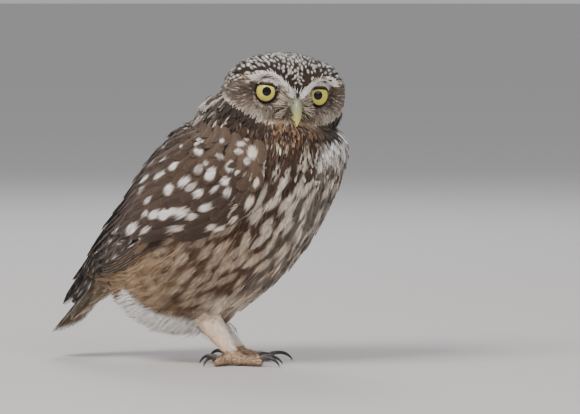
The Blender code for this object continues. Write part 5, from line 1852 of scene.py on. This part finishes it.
def make_skin():
    """One skin under the coat, coloured as the coat over it."""
    points, faces = SKIN_POINTS, SKIN_FACES
    local = to_head(points)
    on_head = (np.linalg.norm(local / [31.0, 37.0, 27.0], axis=1) < 1.02) & (points[:, 2] > 126)
    low = fall(30, 75, points[:, 2])
    back = smooth_step(0.0, 0.5, (points[:, 2] - 60 + 1.2 * (-points[:, 0] - 40)) / 60)
    colours = mix(BREAST_BROWN * 0.9, VENT_WHITE * 0.85, low)
    colours = mix(colours, WING_DARK, back * (points[:, 0] < -20) * 0.8)
    places = HeadPlaces(unit(local[on_head]))
    tone = face_ground(places, np.random.default_rng(101))
    colours[on_head] = np.where(places.face[:, None], tone, CROWN_DARK * 1.1) * 0.9
    round_body = np.arctan2(points[:, 1], 90 - points[:, 2]) / (2 * math.pi) + 0.5
    bake = np.stack([0.02 + 0.58 * round_body, 0.3 + 0.002 * points[:, 0]], axis=-1)
    material = mottled("skin", 0.8, 600.0, 0.18, bump=0.4, bump_scale=900.0)
    made = fast_mesh("skin", material, points, faces, colours, bake)
    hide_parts("torso", "neck", "head", "thigh_left", "thigh_right", "tarsus_left", "tarsus_right")
    points, faces = TAIL_BED
    colours = np.tile(mix(BELLY_BUFF, BREAST_WHITE, 0.4), (len(points), 1))
    material = mottled("tail_bed", 0.85, 500.0, 0.15)
    bed = fast_mesh("tail_bed", material, points, faces, colours, points[:, :2] * 0.001 + 0.6)
    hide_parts("tail")


# The photo: its width in pixels, the millimetres in one, the degrees that it is taken from, the picture's middle,
# right of the middle of the frame of the solids' source and above it, and how far the camera is.
PHOTO_WIDTH, PHOTO_SCALE, PHOTO_ASIDE, PHOTO_ABOVE = 580, 0.56, 22.0, 3.0
PHOTO_MIDDLE, CAMERA_FAR = (25.8, 87.4), 2200.0
SENSOR_WIDTH = 36.0
FLOOR_REACH, BODY_MIDDLE = 300.0, (0.0, 0.0, 0.09)


def make_stage():
    floor_mesh = bpy.data.meshes.new("floor")
    corners = [(x * FLOOR_REACH, y * FLOOR_REACH, 0) for x, y in ((-1, -1), (1, -1), (1, 1), (-1, 1))]
    floor_mesh.from_pydata(corners, [], [(0, 1, 2, 3)])
    floor = bpy.data.objects.new("floor", floor_mesh)
    bpy.context.scene.collection.objects.link(floor)
    material, _, shader = new_material("floor", 0.9, specular=0.1)
    shader.inputs["Base Color"].default_value = (0.62, 0.59, 0.57, 1)
    floor.data.materials.append(material)

    world = bpy.data.worlds.new("studio")
    bpy.context.scene.world = world
    world.use_nodes = True
    background = world.node_tree.nodes["Background"]
    background.inputs["Color"].default_value = (0.93, 0.95, 1.0, 1)
    background.inputs["Strength"].default_value = 0.5

    def area(name, place, size, power, colour):
        light = bpy.data.lights.new(name, "AREA")
        light.shape, light.size, light.energy, light.color = "DISK", size, power, colour
        lamp = bpy.data.objects.new(name, light)
        lamp.location = place
        lamp.rotation_euler = (Vector(BODY_MIDDLE) - Vector(place)).to_track_quat("-Z", "Y").to_euler()
        bpy.context.scene.collection.objects.link(lamp)

    area("key", (-0.5, -1.2, 1.5), 1.0, 30.0, (1.0, 0.98, 0.95))
    area("fill", (1.4, -0.9, 0.9), 1.2, 9.0, (1.0, 0.97, 0.94))
    area("back", (-0.6, 1.3, 1.3), 0.9, 12.0, (0.92, 0.96, 1.0))

    yaw, rise = math.radians(PHOTO_ASIDE), math.radians(PHOTO_ABOVE)
    toward = np.array([math.sin(yaw) * math.cos(rise), -math.cos(yaw) * math.cos(rise), math.sin(rise)])
    right = np.array([math.cos(yaw), math.sin(yaw), 0.0])
    aim = right * PHOTO_MIDDLE[0] + np.cross(toward, right) * PHOTO_MIDDLE[1] + SHIFT
    camera_data = bpy.data.cameras.new("camera")
    camera_data.sensor_width = SENSOR_WIDTH
    camera_data.lens = SENSOR_WIDTH * CAMERA_FAR / (PHOTO_WIDTH * PHOTO_SCALE)
    camera = bpy.data.objects.new("camera", camera_data)
    camera.location = Vector((aim + toward * CAMERA_FAR) * MM)
    camera.rotation_euler = Vector(-toward).to_track_quat("-Z", "Y").to_euler()
    bpy.context.scene.collection.objects.link(camera)
    bpy.context.scene.camera = camera


make_stage()
make_skin()
for wing_side, wing_hand in (("right", -1), ("left", 1)):
    make_wing(wing_side, wing_hand)
    make_eye(wing_side, wing_hand)
make_tail()
make_body()
make_wisps()
make_leg_down()
make_head()
make_lids()
make_bill()
make_feet()
